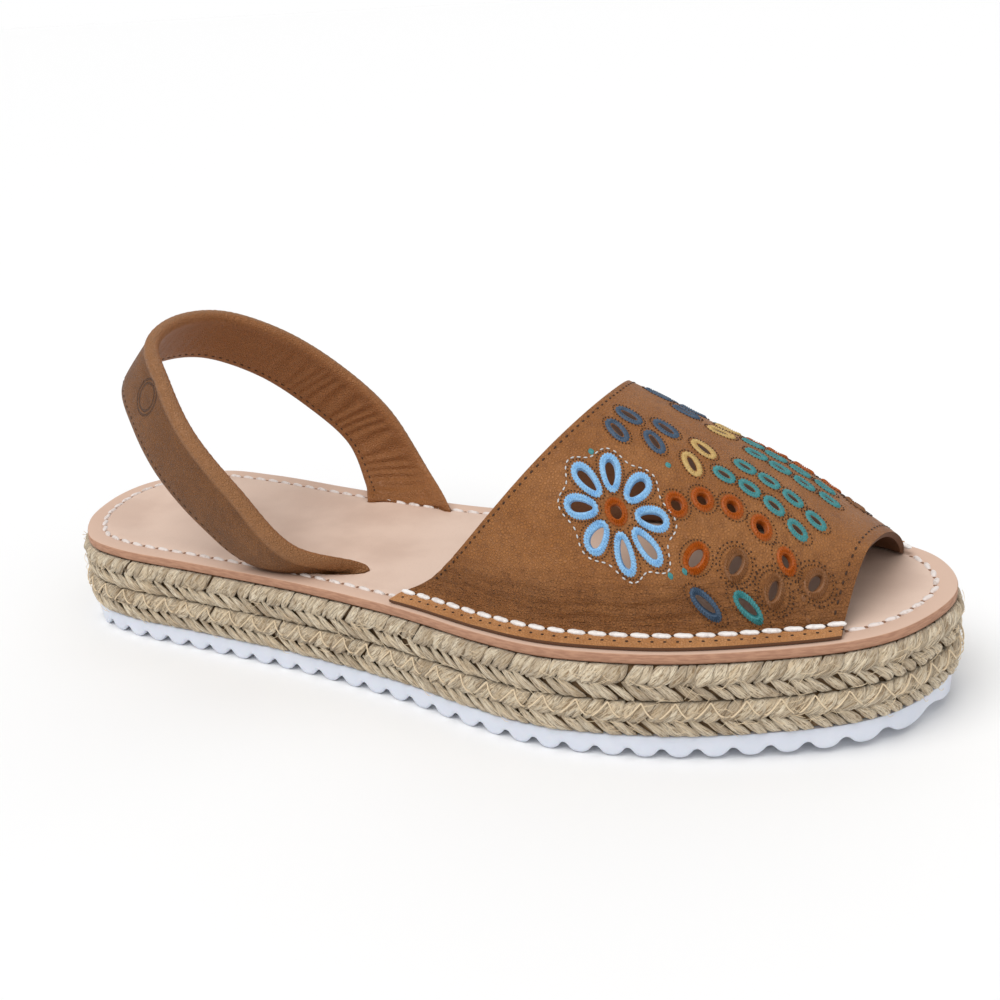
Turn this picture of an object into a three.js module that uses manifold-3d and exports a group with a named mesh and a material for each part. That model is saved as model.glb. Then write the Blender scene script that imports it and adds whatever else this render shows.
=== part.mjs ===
// Platform sandal for a right foot, women's EU 38: a one-piece leather vamp and a folded heel strap on a
// stitched leather insole board, two rounds of herringbone jute braid and a ribbed rubber outsole.
// Millimetres. +X runs to the toe, +Y to the inner side of the foot, +Z up. The origin lies on the
// ground under the middle of the sole. "From heel" below is measured from the rear end of the insole.
import * as THREE from 'three';
import * as BufferGeometryUtils from 'three/addons/utils/BufferGeometryUtils.js';
import Module from 'manifold-3d';

const wasm = await Module();
wasm.setup();

// Sole outline
const SOLE_LENGTH = 260.7;
const BALL_WIDTH = 91.3;
const HEEL_WIDTH = 70;
const TOE_SPRING = 2.45;
const SPRING_START = 160;

// Layers from the ground up, with the seam that stays open between two layers
const SEAM = 0.3;
const OUTSOLE_THICKNESS = 5.86;
const BRAID_HEIGHT = 9.13;
const BOARD_THICKNESS = 2.84;

// Outsole ribs, which run across the sole
const RIB_PITCH = 7.857;
const RIB_DEPTH = 2.17;
const FIRST_GROOVE = 6.55;
const OUTSOLE_INSET = 0.3;
const END_ZONE = 5.2;

// Jute braid: strands run from the spine in the middle of its height up and down to its edges, and on
// their way they lean forward round the sole
const JUTE_BULGE = 1.3;
const JUTE_SPINE = 0.5;
const JUTE_EDGE_INSET = 0.6;
const STRAND_PITCH = 6;
const STRAND_RELIEF = 0.8;
const STRAND_LEAN = 4.2;
const STRAND_CREST = 0.22;

// Insole board
const BOARD_EDGE_ROUND = 0.6;
const HEEL_CUP = 1.0;
const CUP_SHORE = 8;
const CUP_SHORE_WIDTH = 10;

// Vamp
const WALL = 1.6;
const FLANGE_WIDTH = 5.4;
const FLANGE_EDGE_INSET = 0.9;
const INSTEP_HEIGHT = 49.2;
const TOE_OPENING_HEIGHT = 12.8;
const TOE_REACH_OUTER = 20.9;
const TOE_REACH_INNER = 16.8;
const VAMP_FRONT_BOW = 0.4;
const FLANGE_END_SLANT = 1;
const VAMP_FOOT_LENGTH = 110.6;
const VAMP_CREST_LENGTH = 62.8;
const REAR_EDGE_SWEEP = 0.6;
const FOOT_FLARE = 2.5;

// Heel strap and the slits that it comes out of
const STRAP_WIDTH = 20.4;
const STRAP_THICKNESS = 2.8;
const STRAP_ROLL = 4.8;
const STRAP_RISE = 61.6;
const STRAP_HALF_SPAN = 38.8;
const STRAP_BACK = 39.6;
const STRAP_AXIS_SIDE = 3.9;
const STRAP_GAP = 17.4;
const SLIT_MARGIN = 11.6;
const SLIT_BOW = 5;
const SLIT_SLANT = 1.45;
const SLIT_LENGTH = SLIT_SLANT * STRAP_WIDTH;
const SLIT_THICKNESS = 2.4;

// Places from the heel that follow from the vamp's reach to the toe, and the slits' place across
const VAMP_FRONT_OUTER = SOLE_LENGTH - TOE_REACH_OUTER;
const VAMP_FRONT_INNER = SOLE_LENGTH - TOE_REACH_INNER;
const VAMP_REAR_FOOT = VAMP_FRONT_OUTER - VAMP_FOOT_LENGTH;
const VAMP_REAR_TOP = VAMP_FRONT_OUTER - VAMP_CREST_LENGTH;
const SLIT_FRONT = VAMP_REAR_FOOT - STRAP_GAP;
const SLIT_HALF_GAUGE = HEEL_WIDTH / 2 - SLIT_MARGIN;

// Steps of the meshes
const OUTLINE_STEPS = 480;
const BOARD_STEPS = 38;
const VAMP_ARCH_STEPS = 22;
const VAMP_LENGTH_STEPS = 11;
const STRAP_STEPS = 40;

// Heights that follow from the layers
const BRAID_BOTTOM = OUTSOLE_THICKNESS + SEAM;
const BRAID_RISE = BRAID_HEIGHT + SEAM;
const BOARD_BOTTOM = BRAID_BOTTOM + 2 * BRAID_RISE;
const BOARD_TOP = BOARD_BOTTOM + BOARD_THICKNESS;

// Outline of the insole board, heel end first, along the outer side to the toe and back along the inner
// side: at is a share of SOLE_LENGTH, side a share of the width that the row names
const OUTLINE = [
  { at: 0.0, side: 0.15, of: HEEL_WIDTH },
  { at: 0.014, side: -0.102, of: HEEL_WIDTH },
  { at: 0.036, side: -0.241, of: HEEL_WIDTH },
  { at: 0.07, side: -0.36, of: HEEL_WIDTH },
  { at: 0.125, side: -0.42, of: HEEL_WIDTH },
  { at: 0.228, side: -0.441, of: HEEL_WIDTH },
  { at: 0.376, side: -0.474, of: HEEL_WIDTH },
  { at: 0.506, side: -0.417, of: BALL_WIDTH },
  { at: 0.6, side: -0.48, of: BALL_WIDTH },
  { at: 0.669, side: -0.502, of: BALL_WIDTH },
  { at: 0.745, side: -0.473, of: BALL_WIDTH },
  { at: 0.797, side: -0.432, of: BALL_WIDTH },
  { at: 0.861, side: -0.354, of: BALL_WIDTH },
  { at: 0.931, side: -0.242, of: BALL_WIDTH },
  { at: 0.967, side: -0.141, of: BALL_WIDTH },
  { at: 0.992, side: 0.007, of: BALL_WIDTH },
  { at: 1.0, side: 0.133, of: BALL_WIDTH },
  { at: 0.991, side: 0.255, of: BALL_WIDTH },
  { at: 0.965, side: 0.371, of: BALL_WIDTH },
  { at: 0.928, side: 0.438, of: BALL_WIDTH },
  { at: 0.842, side: 0.492, of: BALL_WIDTH },
  { at: 0.746, side: 0.498, of: BALL_WIDTH },
  { at: 0.65, side: 0.47, of: BALL_WIDTH },
  { at: 0.554, side: 0.416, of: BALL_WIDTH },
  { at: 0.465, side: 0.38, of: BALL_WIDTH },
  { at: 0.362, side: 0.5, of: HEEL_WIDTH },
  { at: 0.268, side: 0.53, of: HEEL_WIDTH },
  { at: 0.149, side: 0.575, of: HEEL_WIDTH },
  { at: 0.071, side: 0.553, of: HEEL_WIDTH },
  { at: 0.0115, side: 0.338, of: HEEL_WIDTH },
];

// Section from one groove of the outsole to the next: along is a share of RIB_PITCH, up a share of RIB_DEPTH
const RIB_SECTION = [
  { along: 0, up: 1 },
  { along: 0.16, up: 0.66 },
  { along: 0.31, up: 0 },
  { along: 0.69, up: 0 },
  { along: 0.84, up: 0.66 },
  { along: 1, up: 1 },
];

// Shares of END_ZONE, from the very end, where a station keeps each end of the outsole round
const END_SHARES = [0.004, 0.023, 0.067, 0.15, 0.31, 0.56, 0.88];

// Sections of the vamp over the last: at is a share of SOLE_LENGTH, crest the height over the insole,
// ridge the place of the crest across, a share of BALL_WIDTH, and full how square the arch is on each
// side: over 2 its wall stands up, under 2 its foot flares out. The first two rows only guide the
// sides, because the rear edge is cut below their crest.
const VAMP_SECTIONS = [
  { at: 0.49, crest: 1.42 * INSTEP_HEIGHT, ridge: 0.03, fullOuter: 2.1, fullInner: 2.1 },
  { at: 0.592, crest: 1.22 * INSTEP_HEIGHT, ridge: 0.03, fullOuter: 2.2, fullInner: 2.1 },
  { at: 0.692, crest: INSTEP_HEIGHT, ridge: 0.028, fullOuter: 2.25, fullInner: 2.1 },
  { at: 0.765, crest: 0.812 * INSTEP_HEIGHT, ridge: 0.024, fullOuter: 2.25, fullInner: 2.1 },
  { at: 0.842, crest: 0.61 * INSTEP_HEIGHT, ridge: 0.02, fullOuter: 2.1, fullInner: 2.1 },
  { at: 0.9, crest: 0.4 * INSTEP_HEIGHT, ridge: 0.022, fullOuter: 1.7, fullInner: 1.9 },
  { at: 0.944, crest: TOE_OPENING_HEIGHT, ridge: 0.02, fullOuter: 1.36, fullInner: 1.65 },
];

// Path of the strap from the middle of the heel to a slit: reach, side and up place its rolled upper edge
// as shares of the way to the slit, STRAP_HALF_SPAN and STRAP_RISE. The lower edge lies back, out and
// down from it, and the band is bowed outward between its edges, all in shares of STRAP_WIDTH.
const STRAP_PATH = [
  { reach: 0, side: 0, up: 1, back: 0.664, out: 0, down: 0.741, bow: 0.01, roll: 1 },
  { reach: 0.049, side: 0.428, up: 0.96, back: 0.659, out: 0.064, down: 0.741, bow: 0.015, roll: 1 },
  { reach: 0.21, side: 0.719, up: 0.836, back: 0.645, out: 0.08, down: 0.76, bow: 0.02, roll: 1 },
  { reach: 0.39, side: 0.93, up: 0.651, back: 0.668, out: 0, down: 0.736, bow: 0.03, roll: 1 },
  { reach: 0.605, side: 1, up: 0.421, back: 0.75, out: -0.055, down: 0.632, bow: 0.06, roll: 0.95 },
  { reach: 0.793, side: 0.923, up: 0.162, back: 1.0, out: -0.19, down: 0.36, bow: 0.12, roll: 0.8 },
];

// Half section of the folded strap: across is a share of its width from the rolled edge, thick the
// thickness there, a share of the roll near the upper edge and of the flat band below it
const STRAP_SECTION = [
  { across: 0.0, thick: 0.3, of: STRAP_ROLL },
  { across: 0.05, thick: 0.8, of: STRAP_ROLL },
  { across: 0.12, thick: 0.96, of: STRAP_ROLL },
  { across: 0.22, thick: 0.74, of: STRAP_ROLL },
  { across: 0.4, thick: 1, of: STRAP_THICKNESS },
  { across: 0.86, thick: 0.95, of: STRAP_THICKNESS },
  { across: 1.0, thick: 0.6, of: STRAP_THICKNESS },
];

// Eyelets cut through each side of the vamp: ahead is the distance in front of the rear edge's top, round
// the distance down the side from the crest, turn the hole's angle from the toe direction in degrees
const FLOWER = { ahead: 12, round: 37.5, petals: 8, petalCentre: 8.8, long: 6.4, wide: 2.6, heart: 3.2 };
const ROUND_EYELET = 3;
const ROUND_EYELETS = [
  { ahead: 24.5, round: 27.5 },
  { ahead: 29.5, round: 22.4 },
  { ahead: 36, round: 19.6 },
  { ahead: 43, round: 19.6 },
  { ahead: 49.5, round: 22.4 },
];
const LEAF = { long: 6, wide: 2.4 };
const LEAVES = [
  { ahead: 31, round: 36.5, turn: -62 },
  { ahead: 39.5, round: 32, turn: -66 },
  { ahead: 48, round: 31, turn: -72 },
  { ahead: 56, round: 21.5, turn: -60 },
  { ahead: 34, round: 45.5, turn: 12 },
  { ahead: 43, round: 39.3, turn: 6 },
];

// Reads a value between the rows of a table as a smooth curve through them
function between(rows, place, name, value) {
  const last = rows.length - 1;
  let i = 0;
  while (i < last - 1 && rows[i + 1][place] < value) i += 1;
  const slope = (k) => {
    const a = rows[Math.max(k - 1, 0)];
    const b = rows[Math.min(k + 1, last)];
    return (b[name] - a[name]) / (b[place] - a[place]);
  };
  const span = rows[i + 1][place] - rows[i][place];
  const t = THREE.MathUtils.clamp((value - rows[i][place]) / span, 0, 1);
  const start = rows[i][name] * (1 + 2 * t) + slope(i) * span * t;
  const end = rows[i + 1][name] * (3 - 2 * t) - slope(i + 1) * span * (1 - t);
  return start * (1 - t) ** 2 + end * t ** 2;
}

// Rise of every layer toward the toe, at a distance from the heel
function toeSpring(fromHeel) {
  const share = Math.max(fromHeel - SPRING_START, 0) / (SOLE_LENGTH - SPRING_START);
  return TOE_SPRING * share ** 2;
}

// Board outline as a closed run of even points, counter-clockwise seen from above
function boardOutline() {
  const corners = OUTLINE.map((row) => new THREE.Vector3((row.at - 0.5) * SOLE_LENGTH, row.side * row.of, 0));
  const curve = new THREE.CatmullRomCurve3(corners, true, 'centripetal');
  curve.arcLengthDivisions = 4 * OUTLINE_STEPS;
  return curve.getSpacedPoints(OUTLINE_STEPS).slice(0, OUTLINE_STEPS);
}

const boardEdge = boardOutline();

// The board's outline moved outward by a distance, or inward where it is negative
function offsetOutline(distance) {
  const count = boardEdge.length;
  return boardEdge.map((point, i) => {
    const before = boardEdge[(i + count - 1) % count];
    const after = boardEdge[(i + 1) % count];
    const along = after.clone().sub(before).normalize();
    return new THREE.Vector3(point.x + along.y * distance, point.y - along.x * distance, 0);
  });
}

// Splits an outline at heel and toe and spaces each half evenly, so that point i and point
// 2 * steps - i face each other across the sole
function pairedRing(distance, steps, slide = 0) {
  const outline = offsetOutline(distance);
  const xs = outline.map((point) => point.x);
  const heel = xs.indexOf(Math.min(...xs));
  const run = outline.slice(heel).concat(outline.slice(0, heel));
  const toe = run.map((point) => point.x).indexOf(Math.max(...xs));
  const halves = [run.slice(0, toe + 1), run.slice(toe).concat([run[0]])];
  const spaced = halves.map((half) => {
    const reached = [0];
    for (let i = 1; i < half.length; i += 1) reached.push(reached[i - 1] + half[i].distanceTo(half[i - 1]));
    const whole = reached[reached.length - 1];
    return Array.from({ length: steps }, (_, i) => {
      const target = THREE.MathUtils.clamp((whole * i) / steps + slide, 0, whole);
      let k = 1;
      while (k < half.length - 1 && reached[k] < target) k += 1;
      const t = (target - reached[k - 1]) / (reached[k] - reached[k - 1]);
      return half[k - 1].clone().lerp(half[k], t);
    });
  });
  return spaced[0].concat(spaced[1]);
}

// Where an outline crosses a line across the sole: outer side first, then inner side
function sidesAt(outline, x) {
  let outer = Infinity;
  let inner = -Infinity;
  outline.forEach((point, i) => {
    const next = outline[(i + 1) % outline.length];
    if ((point.x - x) * (next.x - x) <= 0 && point.x !== next.x) {
      const y = point.y + ((next.y - point.y) * (x - point.x)) / (next.x - point.x);
      outer = Math.min(outer, y);
      inner = Math.max(inner, y);
    }
  });
  return [outer, inner];
}

// A closed mesh from flat lists of points and corner numbers
function meshGeometry(points, corners) {
  const geometry = new THREE.BufferGeometry();
  const positions = points.flatMap((point) => [point.x, point.y, point.z]);
  geometry.setAttribute('position', new THREE.Float32BufferAttribute(positions, 3));
  geometry.setIndex(corners);
  return geometry;
}

// A slab from rings of paired points, bottom ring first, closed below and above by strips across
function ringSlab(rings) {
  const count = rings[0].length;
  const half = count / 2;
  const corners = [];
  for (let k = 0; k + 1 < rings.length; k += 1) {
    for (let i = 0; i < count; i += 1) {
      const next = (i + 1) % count;
      const [a, b, c, d] = [k * count + i, k * count + next, (k + 1) * count + next, (k + 1) * count + i];
      corners.push(a, b, c, a, c, d);
    }
  }
  const top = (rings.length - 1) * count;
  for (let i = 0; i < half; i += 1) {
    const [outer, nextOuter, inner, nextInner] = [i, i + 1, (count - i) % count, count - i - 1];
    if (i > 0) {
      corners.push(top + outer, top + nextOuter, top + inner, inner, nextOuter, outer);
    }
    if (i < half - 1) {
      corners.push(top + nextOuter, top + nextInner, top + inner, inner, nextInner, nextOuter);
    }
  }
  return meshGeometry(rings.flat(), corners);
}

// Lifts a flat ring to a height over the ground, following the toe spring
function lift(ring, height) {
  return ring.map(({ x, y }) => new THREE.Vector3(x, y, height + toeSpring(x + SOLE_LENGTH / 2)));
}

function toSolid(geometry) {
  const merged = BufferGeometryUtils.mergeVertices(geometry, 1e-5);
  return new wasm.Manifold(new wasm.Mesh({
    numProp: 3,
    vertProperties: new Float32Array(merged.getAttribute('position').array),
    triVerts: new Uint32Array(merged.getIndex().array),
  }));
}

function toGeometry(solid) {
  const mesh = solid.getMesh();
  const geometry = new THREE.BufferGeometry();
  geometry.setAttribute('position', new THREE.Float32BufferAttribute(mesh.vertProperties, 3));
  geometry.setIndex(Array.from(mesh.triVerts));
  return geometry;
}

// Height of the outsole's underside at x, before the toe spring
function ribUp(x) {
  const along = THREE.MathUtils.euclideanModulo((x + SOLE_LENGTH / 2 - FIRST_GROOVE) / RIB_PITCH, 1);
  const k = RIB_SECTION.findIndex((row) => row.along > along);
  const [from, to] = [RIB_SECTION[k - 1], RIB_SECTION[k]];
  return RIB_DEPTH * THREE.MathUtils.mapLinear(along, from.along, to.along, from.up, to.up);
}

// Outsole: flat top, upright edge and ribs across its underside
function outsoleGeometry() {
  const outline = offsetOutline(-OUTSOLE_INSET);
  const xs = outline.map((point) => point.x);
  const heelEnd = Math.min(...xs);
  const toeEnd = Math.max(...xs);
  const places = END_SHARES.flatMap((share) => [heelEnd + share * END_ZONE, toeEnd - share * END_ZONE]);
  const grooveAt = FIRST_GROOVE - SOLE_LENGTH / 2;
  for (let rib = -1; grooveAt + rib * RIB_PITCH < toeEnd; rib += 1) {
    const ribPlaces = RIB_SECTION.slice(0, -1).map((row) => grooveAt + (rib + row.along) * RIB_PITCH);
    places.push(...ribPlaces.filter((x) => x > heelEnd + END_ZONE && x < toeEnd - END_ZONE));
  }
  const all = places.sort((a, b) => a - b).map((x) => ({ x, up: ribUp(x) }));
  const points = all.flatMap((station) => {
    const [outer, inner] = sidesAt(outline, station.x);
    const rise = toeSpring(station.x + SOLE_LENGTH / 2);
    return [
      new THREE.Vector3(station.x, outer, station.up + rise),
      new THREE.Vector3(station.x, inner, station.up + rise),
      new THREE.Vector3(station.x, inner, OUTSOLE_THICKNESS + rise),
      new THREE.Vector3(station.x, outer, OUTSOLE_THICKNESS + rise),
    ];
  });
  const corners = [];
  for (let k = 0; k + 1 < all.length; k += 1) {
    for (let side = 0; side < 4; side += 1) {
      const [a, b] = [4 * k + side, 4 * k + ((side + 1) % 4)];
      corners.push(a, b, b + 4, a, b + 4, a + 4);
    }
  }
  const last = 4 * (all.length - 1);
  corners.push(0, 2, 1, 0, 3, 2, last, last + 1, last + 2, last, last + 2, last + 3);
  return meshGeometry(points, corners);
}

// One round of braid: strands stand proud of its side and bend at its spine
function braidGeometry(bottom) {
  const around = boardEdge.reduce((sum, point, i) => sum + point.distanceTo(boardEdge.at(i - 1)), 0);
  const steps = 2 * Math.round(around / (2 * STRAND_PITCH));
  const strands = (distance, lean) => {
    const groove = pairedRing(distance - STRAND_RELIEF, steps, lean);
    const crest = pairedRing(distance, steps, lean);
    return groove.map((point, i) => (i % 2 === 0 ? point : crest[i]));
  };
  const levels = [
    { up: 0, ring: pairedRing(-JUTE_EDGE_INSET, steps) },
    { up: STRAND_CREST, ring: strands(JUTE_BULGE, (-STRAND_LEAN * STRAND_CREST) / JUTE_SPINE) },
    { up: JUTE_SPINE, ring: strands(JUTE_BULGE - JUTE_EDGE_INSET, -STRAND_LEAN) },
    { up: 1 - STRAND_CREST, ring: strands(JUTE_BULGE, (-STRAND_LEAN * STRAND_CREST) / JUTE_SPINE) },
    { up: 1, ring: pairedRing(-JUTE_EDGE_INSET, steps) },
  ];
  return ringSlab(levels.map((level) => lift(level.ring, bottom + level.up * BRAID_HEIGHT)));
}

// Depth of the heel cup in the insole board
function heelCup(fromHeel) {
  return HEEL_CUP * (1 - THREE.MathUtils.smoothstep(fromHeel, 0.2 * SOLE_LENGTH, 0.42 * SOLE_LENGTH));
}

// Middle line of a slit: share 0 is its front end, height is over the ground
function slitPoint(share, side, height) {
  const x = SLIT_FRONT - share * SLIT_LENGTH - SOLE_LENGTH / 2;
  const out = SLIT_HALF_GAUGE + SLIT_BOW * 4 * share * (1 - share);
  return new THREE.Vector3(x, STRAP_AXIS_SIDE + side * out, height);
}

// Upright block of a slit's shape with a margin all round its strap
function slitSolid(side, margin, bottom, top) {
  const half = SLIT_THICKNESS / 2 + margin;
  const steps = 8;
  const rim = [];
  for (let i = 0; i <= steps; i += 1) {
    const share = i / steps;
    const here = slitPoint(share, side, 0);
    const along = slitPoint(share + 0.01, side, 0).sub(slitPoint(share - 0.01, side, 0)).normalize();
    here.addScaledVector(along, margin * (2 * share - 1));
    rim.push({ here, across: new THREE.Vector3(-along.y, along.x, 0) });
  }
  const shape = new THREE.Shape();
  const edge = rim.map((r) => r.here.clone().addScaledVector(r.across, half));
  edge.push(...rim.reverse().map((r) => r.here.clone().addScaledVector(r.across, -half)));
  shape.setFromPoints(edge.map((point) => new THREE.Vector2(point.x, point.y)));
  const block = new THREE.ExtrudeGeometry(shape, { depth: top - bottom, bevelEnabled: false });
  block.deleteAttribute('normal');
  block.deleteAttribute('uv');
  block.translate(0, 0, bottom);
  return toSolid(block);
}

// Insole board with a rounded edge, a shallow heel cup and the two slits of the strap
function insoleGeometry() {
  const lowered = (ring) => ring.map((point) => {
    const fromHeel = point.x + SOLE_LENGTH / 2;
    return new THREE.Vector3(point.x, point.y, BOARD_TOP + toeSpring(fromHeel) - heelCup(fromHeel));
  });
  const board = ringSlab([
    lift(pairedRing(-BOARD_EDGE_ROUND, BOARD_STEPS), BOARD_BOTTOM),
    lift(pairedRing(0, BOARD_STEPS), BOARD_BOTTOM + BOARD_EDGE_ROUND),
    lift(pairedRing(0, BOARD_STEPS), BOARD_TOP - BOARD_EDGE_ROUND),
    lift(pairedRing(-BOARD_EDGE_ROUND, BOARD_STEPS), BOARD_TOP),
    lift(pairedRing(-CUP_SHORE, BOARD_STEPS), BOARD_TOP),
    lowered(pairedRing(-CUP_SHORE - CUP_SHORE_WIDTH, BOARD_STEPS)),
  ]);
  let solid = toSolid(board);
  for (const side of [-1, 1]) {
    const slit = slitSolid(side, SEAM, BOARD_BOTTOM - BOARD_THICKNESS, BOARD_TOP + BOARD_THICKNESS);
    solid = solid.subtract(slit);
  }
  return toGeometry(solid);
}

const wallFootEdge = offsetOutline(-FLANGE_EDGE_INSET - FLANGE_WIDTH);
const flangeEdge = offsetOutline(-FLANGE_EDGE_INSET);

// A point of the vamp: turn runs from 0 at the outer foot over the crest to PI at the inner foot,
// depth from 0 on the outer face to WALL on the inner face
function vampPoint(x, turn, depth) {
  const fromHeel = x + SOLE_LENGTH / 2;
  const at = fromHeel / SOLE_LENGTH;
  const [footOuter, footInner] = sidesAt(wallFootEdge, x);
  const ridge = between(VAMP_SECTIONS, 'at', 'ridge', at) * BALL_WIDTH;
  const isOuter = turn < Math.PI / 2;
  const full = between(VAMP_SECTIONS, 'at', isOuter ? 'fullOuter' : 'fullInner', at);
  const reach = Math.abs(Math.cos(turn)) ** Math.min(2 / full, 1);
  const climb = Math.max(Math.sin(turn), 0) ** (full < 2 ? (2 / full) ** FOOT_FLARE : 2 / full);
  const foot = isOuter ? footOuter + depth : footInner - depth;
  const y = THREE.MathUtils.lerp(ridge, foot, reach);
  const rise = between(VAMP_SECTIONS, 'at', 'crest', at) - SEAM - WALL;
  const z = BOARD_TOP + SEAM + WALL - depth + rise * climb;
  return new THREE.Vector3(x, y, z + toeSpring(fromHeel));
}

// Rear and front ends of the vamp along one line over the arch
function vampSpan(turn) {
  const up = Math.max(Math.sin(turn), 0);
  const across = (1 - Math.cos(turn)) / 2;
  const rear = VAMP_REAR_FOOT + (VAMP_REAR_TOP - VAMP_REAR_FOOT) * up ** REAR_EDGE_SWEEP;
  const front = THREE.MathUtils.lerp(VAMP_FRONT_OUTER, VAMP_FRONT_INNER, across) + VAMP_FRONT_BOW * up ** 0.5;
  return [rear - SOLE_LENGTH / 2, front - SOLE_LENGTH / 2];
}

// One face of the vamp as rows of points, from the outer flange over the arch to the inner flange
function vampFace(depth) {
  const rows = [];
  const flangeRow = (turn, side) => {
    const [rear, front] = vampSpan(turn);
    return Array.from({ length: VAMP_LENGTH_STEPS + 1 }, (_, i) => {
      const x = THREE.MathUtils.lerp(rear, front, i / VAMP_LENGTH_STEPS) + FLANGE_END_SLANT * Math.cos(turn);
      const height = BOARD_TOP + SEAM + WALL - depth + toeSpring(x + SOLE_LENGTH / 2);
      return new THREE.Vector3(x, sidesAt(flangeEdge, x)[side], height);
    });
  };
  rows.push(flangeRow(0, 0));
  for (let j = 0; j <= VAMP_ARCH_STEPS; j += 1) {
    const turn = (Math.PI * j) / VAMP_ARCH_STEPS;
    const [rear, front] = vampSpan(turn);
    rows.push(Array.from({ length: VAMP_LENGTH_STEPS + 1 }, (_, i) => (
      vampPoint(THREE.MathUtils.lerp(rear, front, i / VAMP_LENGTH_STEPS), turn, depth)
    )));
  }
  rows.push(flangeRow(Math.PI, 1));
  return rows;
}

// A wall between two faces with the same rows and columns
function shellGeometry(outerFace, innerFace) {
  const rows = outerFace.length;
  const columns = outerFace[0].length;
  const inside = rows * columns;
  const number = (row, column) => row * columns + column;
  const corners = [];
  for (let r = 0; r + 1 < rows; r += 1) {
    for (let c = 0; c + 1 < columns; c += 1) {
      const [a, b, d, e] = [number(r, c), number(r, c + 1), number(r + 1, c + 1), number(r + 1, c)];
      corners.push(a, b, d, a, d, e, inside + a, inside + d, inside + b, inside + a, inside + e, inside + d);
    }
  }
  const border = [];
  for (let c = 0; c + 1 < columns; c += 1) border.push(number(0, c));
  for (let r = 0; r + 1 < rows; r += 1) border.push(number(r, columns - 1));
  for (let c = columns - 1; c > 0; c -= 1) border.push(number(rows - 1, c));
  for (let r = rows - 1; r > 0; r -= 1) border.push(number(r, 0));
  border.forEach((p, i) => {
    const q = border[(i + 1) % border.length];
    corners.push(p, inside + p, inside + q, p, inside + q, q);
  });
  return meshGeometry(outerFace.flat().concat(innerFace.flat()), corners);
}

// The turn at which the outer face lies a distance down the side from the crest
function turnAt(x, round, side) {
  const steps = 120;
  let reached = 0;
  let before = vampPoint(x, Math.PI / 2, 0);
  for (let i = 1; i <= steps; i += 1) {
    const turn = Math.PI / 2 + (side * Math.PI * i) / (2 * steps);
    const here = vampPoint(x, turn, 0);
    reached += here.distanceTo(before);
    if (reached >= round) return turn;
    before = here;
  }
  return Math.PI / 2 + (side * Math.PI) / 2;
}

// Cutter of one almond or round eyelet, square to the wall
function eyeletSolid(eyelet, side) {
  const x = VAMP_REAR_TOP + eyelet.ahead - SOLE_LENGTH / 2;
  const turn = turnAt(x, eyelet.round, side);
  const here = vampPoint(x, turn, 0);
  const ahead = vampPoint(x + 0.5, turn, 0).sub(here).normalize();
  const down = vampPoint(x, turn + side * 0.01, 0).sub(here).normalize();
  const outward = new THREE.Vector3().crossVectors(ahead, down).multiplyScalar(side).normalize();
  const across = new THREE.Vector3().crossVectors(outward, ahead).normalize();
  const points = 6;
  const shape = new THREE.Shape();
  shape.setFromPoints(Array.from({ length: points }, (_, i) => {
    const angle = (2 * Math.PI * i) / points;
    return new THREE.Vector2((eyelet.long / 2) * Math.cos(angle), (eyelet.wide / 2) * Math.sin(angle));
  }));
  const block = new THREE.ExtrudeGeometry(shape, { depth: 4 * WALL, bevelEnabled: false });
  block.deleteAttribute('normal');
  block.deleteAttribute('uv');
  block.translate(0, 0, -2.4 * WALL);
  block.rotateZ(THREE.MathUtils.degToRad(side * eyelet.turn));
  block.applyMatrix4(new THREE.Matrix4().makeBasis(ahead, across, outward).setPosition(here));
  return toSolid(block);
}

// All eyelets of one side of the vamp: a flower, an arc of round eyelets over it and a spray of leaves
function eyeletList() {
  const petals = Array.from({ length: FLOWER.petals }, (_, i) => {
    const angle = (2 * Math.PI * (i + 0.5)) / FLOWER.petals;
    return {
      ahead: FLOWER.ahead + FLOWER.petalCentre * Math.cos(angle),
      round: FLOWER.round + FLOWER.petalCentre * Math.sin(angle),
      long: FLOWER.long,
      wide: FLOWER.wide,
      turn: THREE.MathUtils.radToDeg(angle),
    };
  });
  const heart = { ahead: FLOWER.ahead, round: FLOWER.round, long: FLOWER.heart, wide: FLOWER.heart, turn: 0 };
  const rounds = ROUND_EYELETS.map((row) => ({ ...row, long: ROUND_EYELET, wide: ROUND_EYELET, turn: 0 }));
  const leaves = LEAVES.map((row) => ({ ...row, ...LEAF }));
  return petals.concat([heart], rounds, leaves);
}

// Vamp: one moulded wall with a flange along each foot and the eyelets of the cutwork
function vampGeometry() {
  let solid = toSolid(shellGeometry(vampFace(0), vampFace(WALL)));
  for (const side of [-1, 1]) {
    for (const eyelet of eyeletList()) solid = solid.subtract(eyeletSolid(eyelet, side));
  }
  return toGeometry(solid);
}

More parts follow.
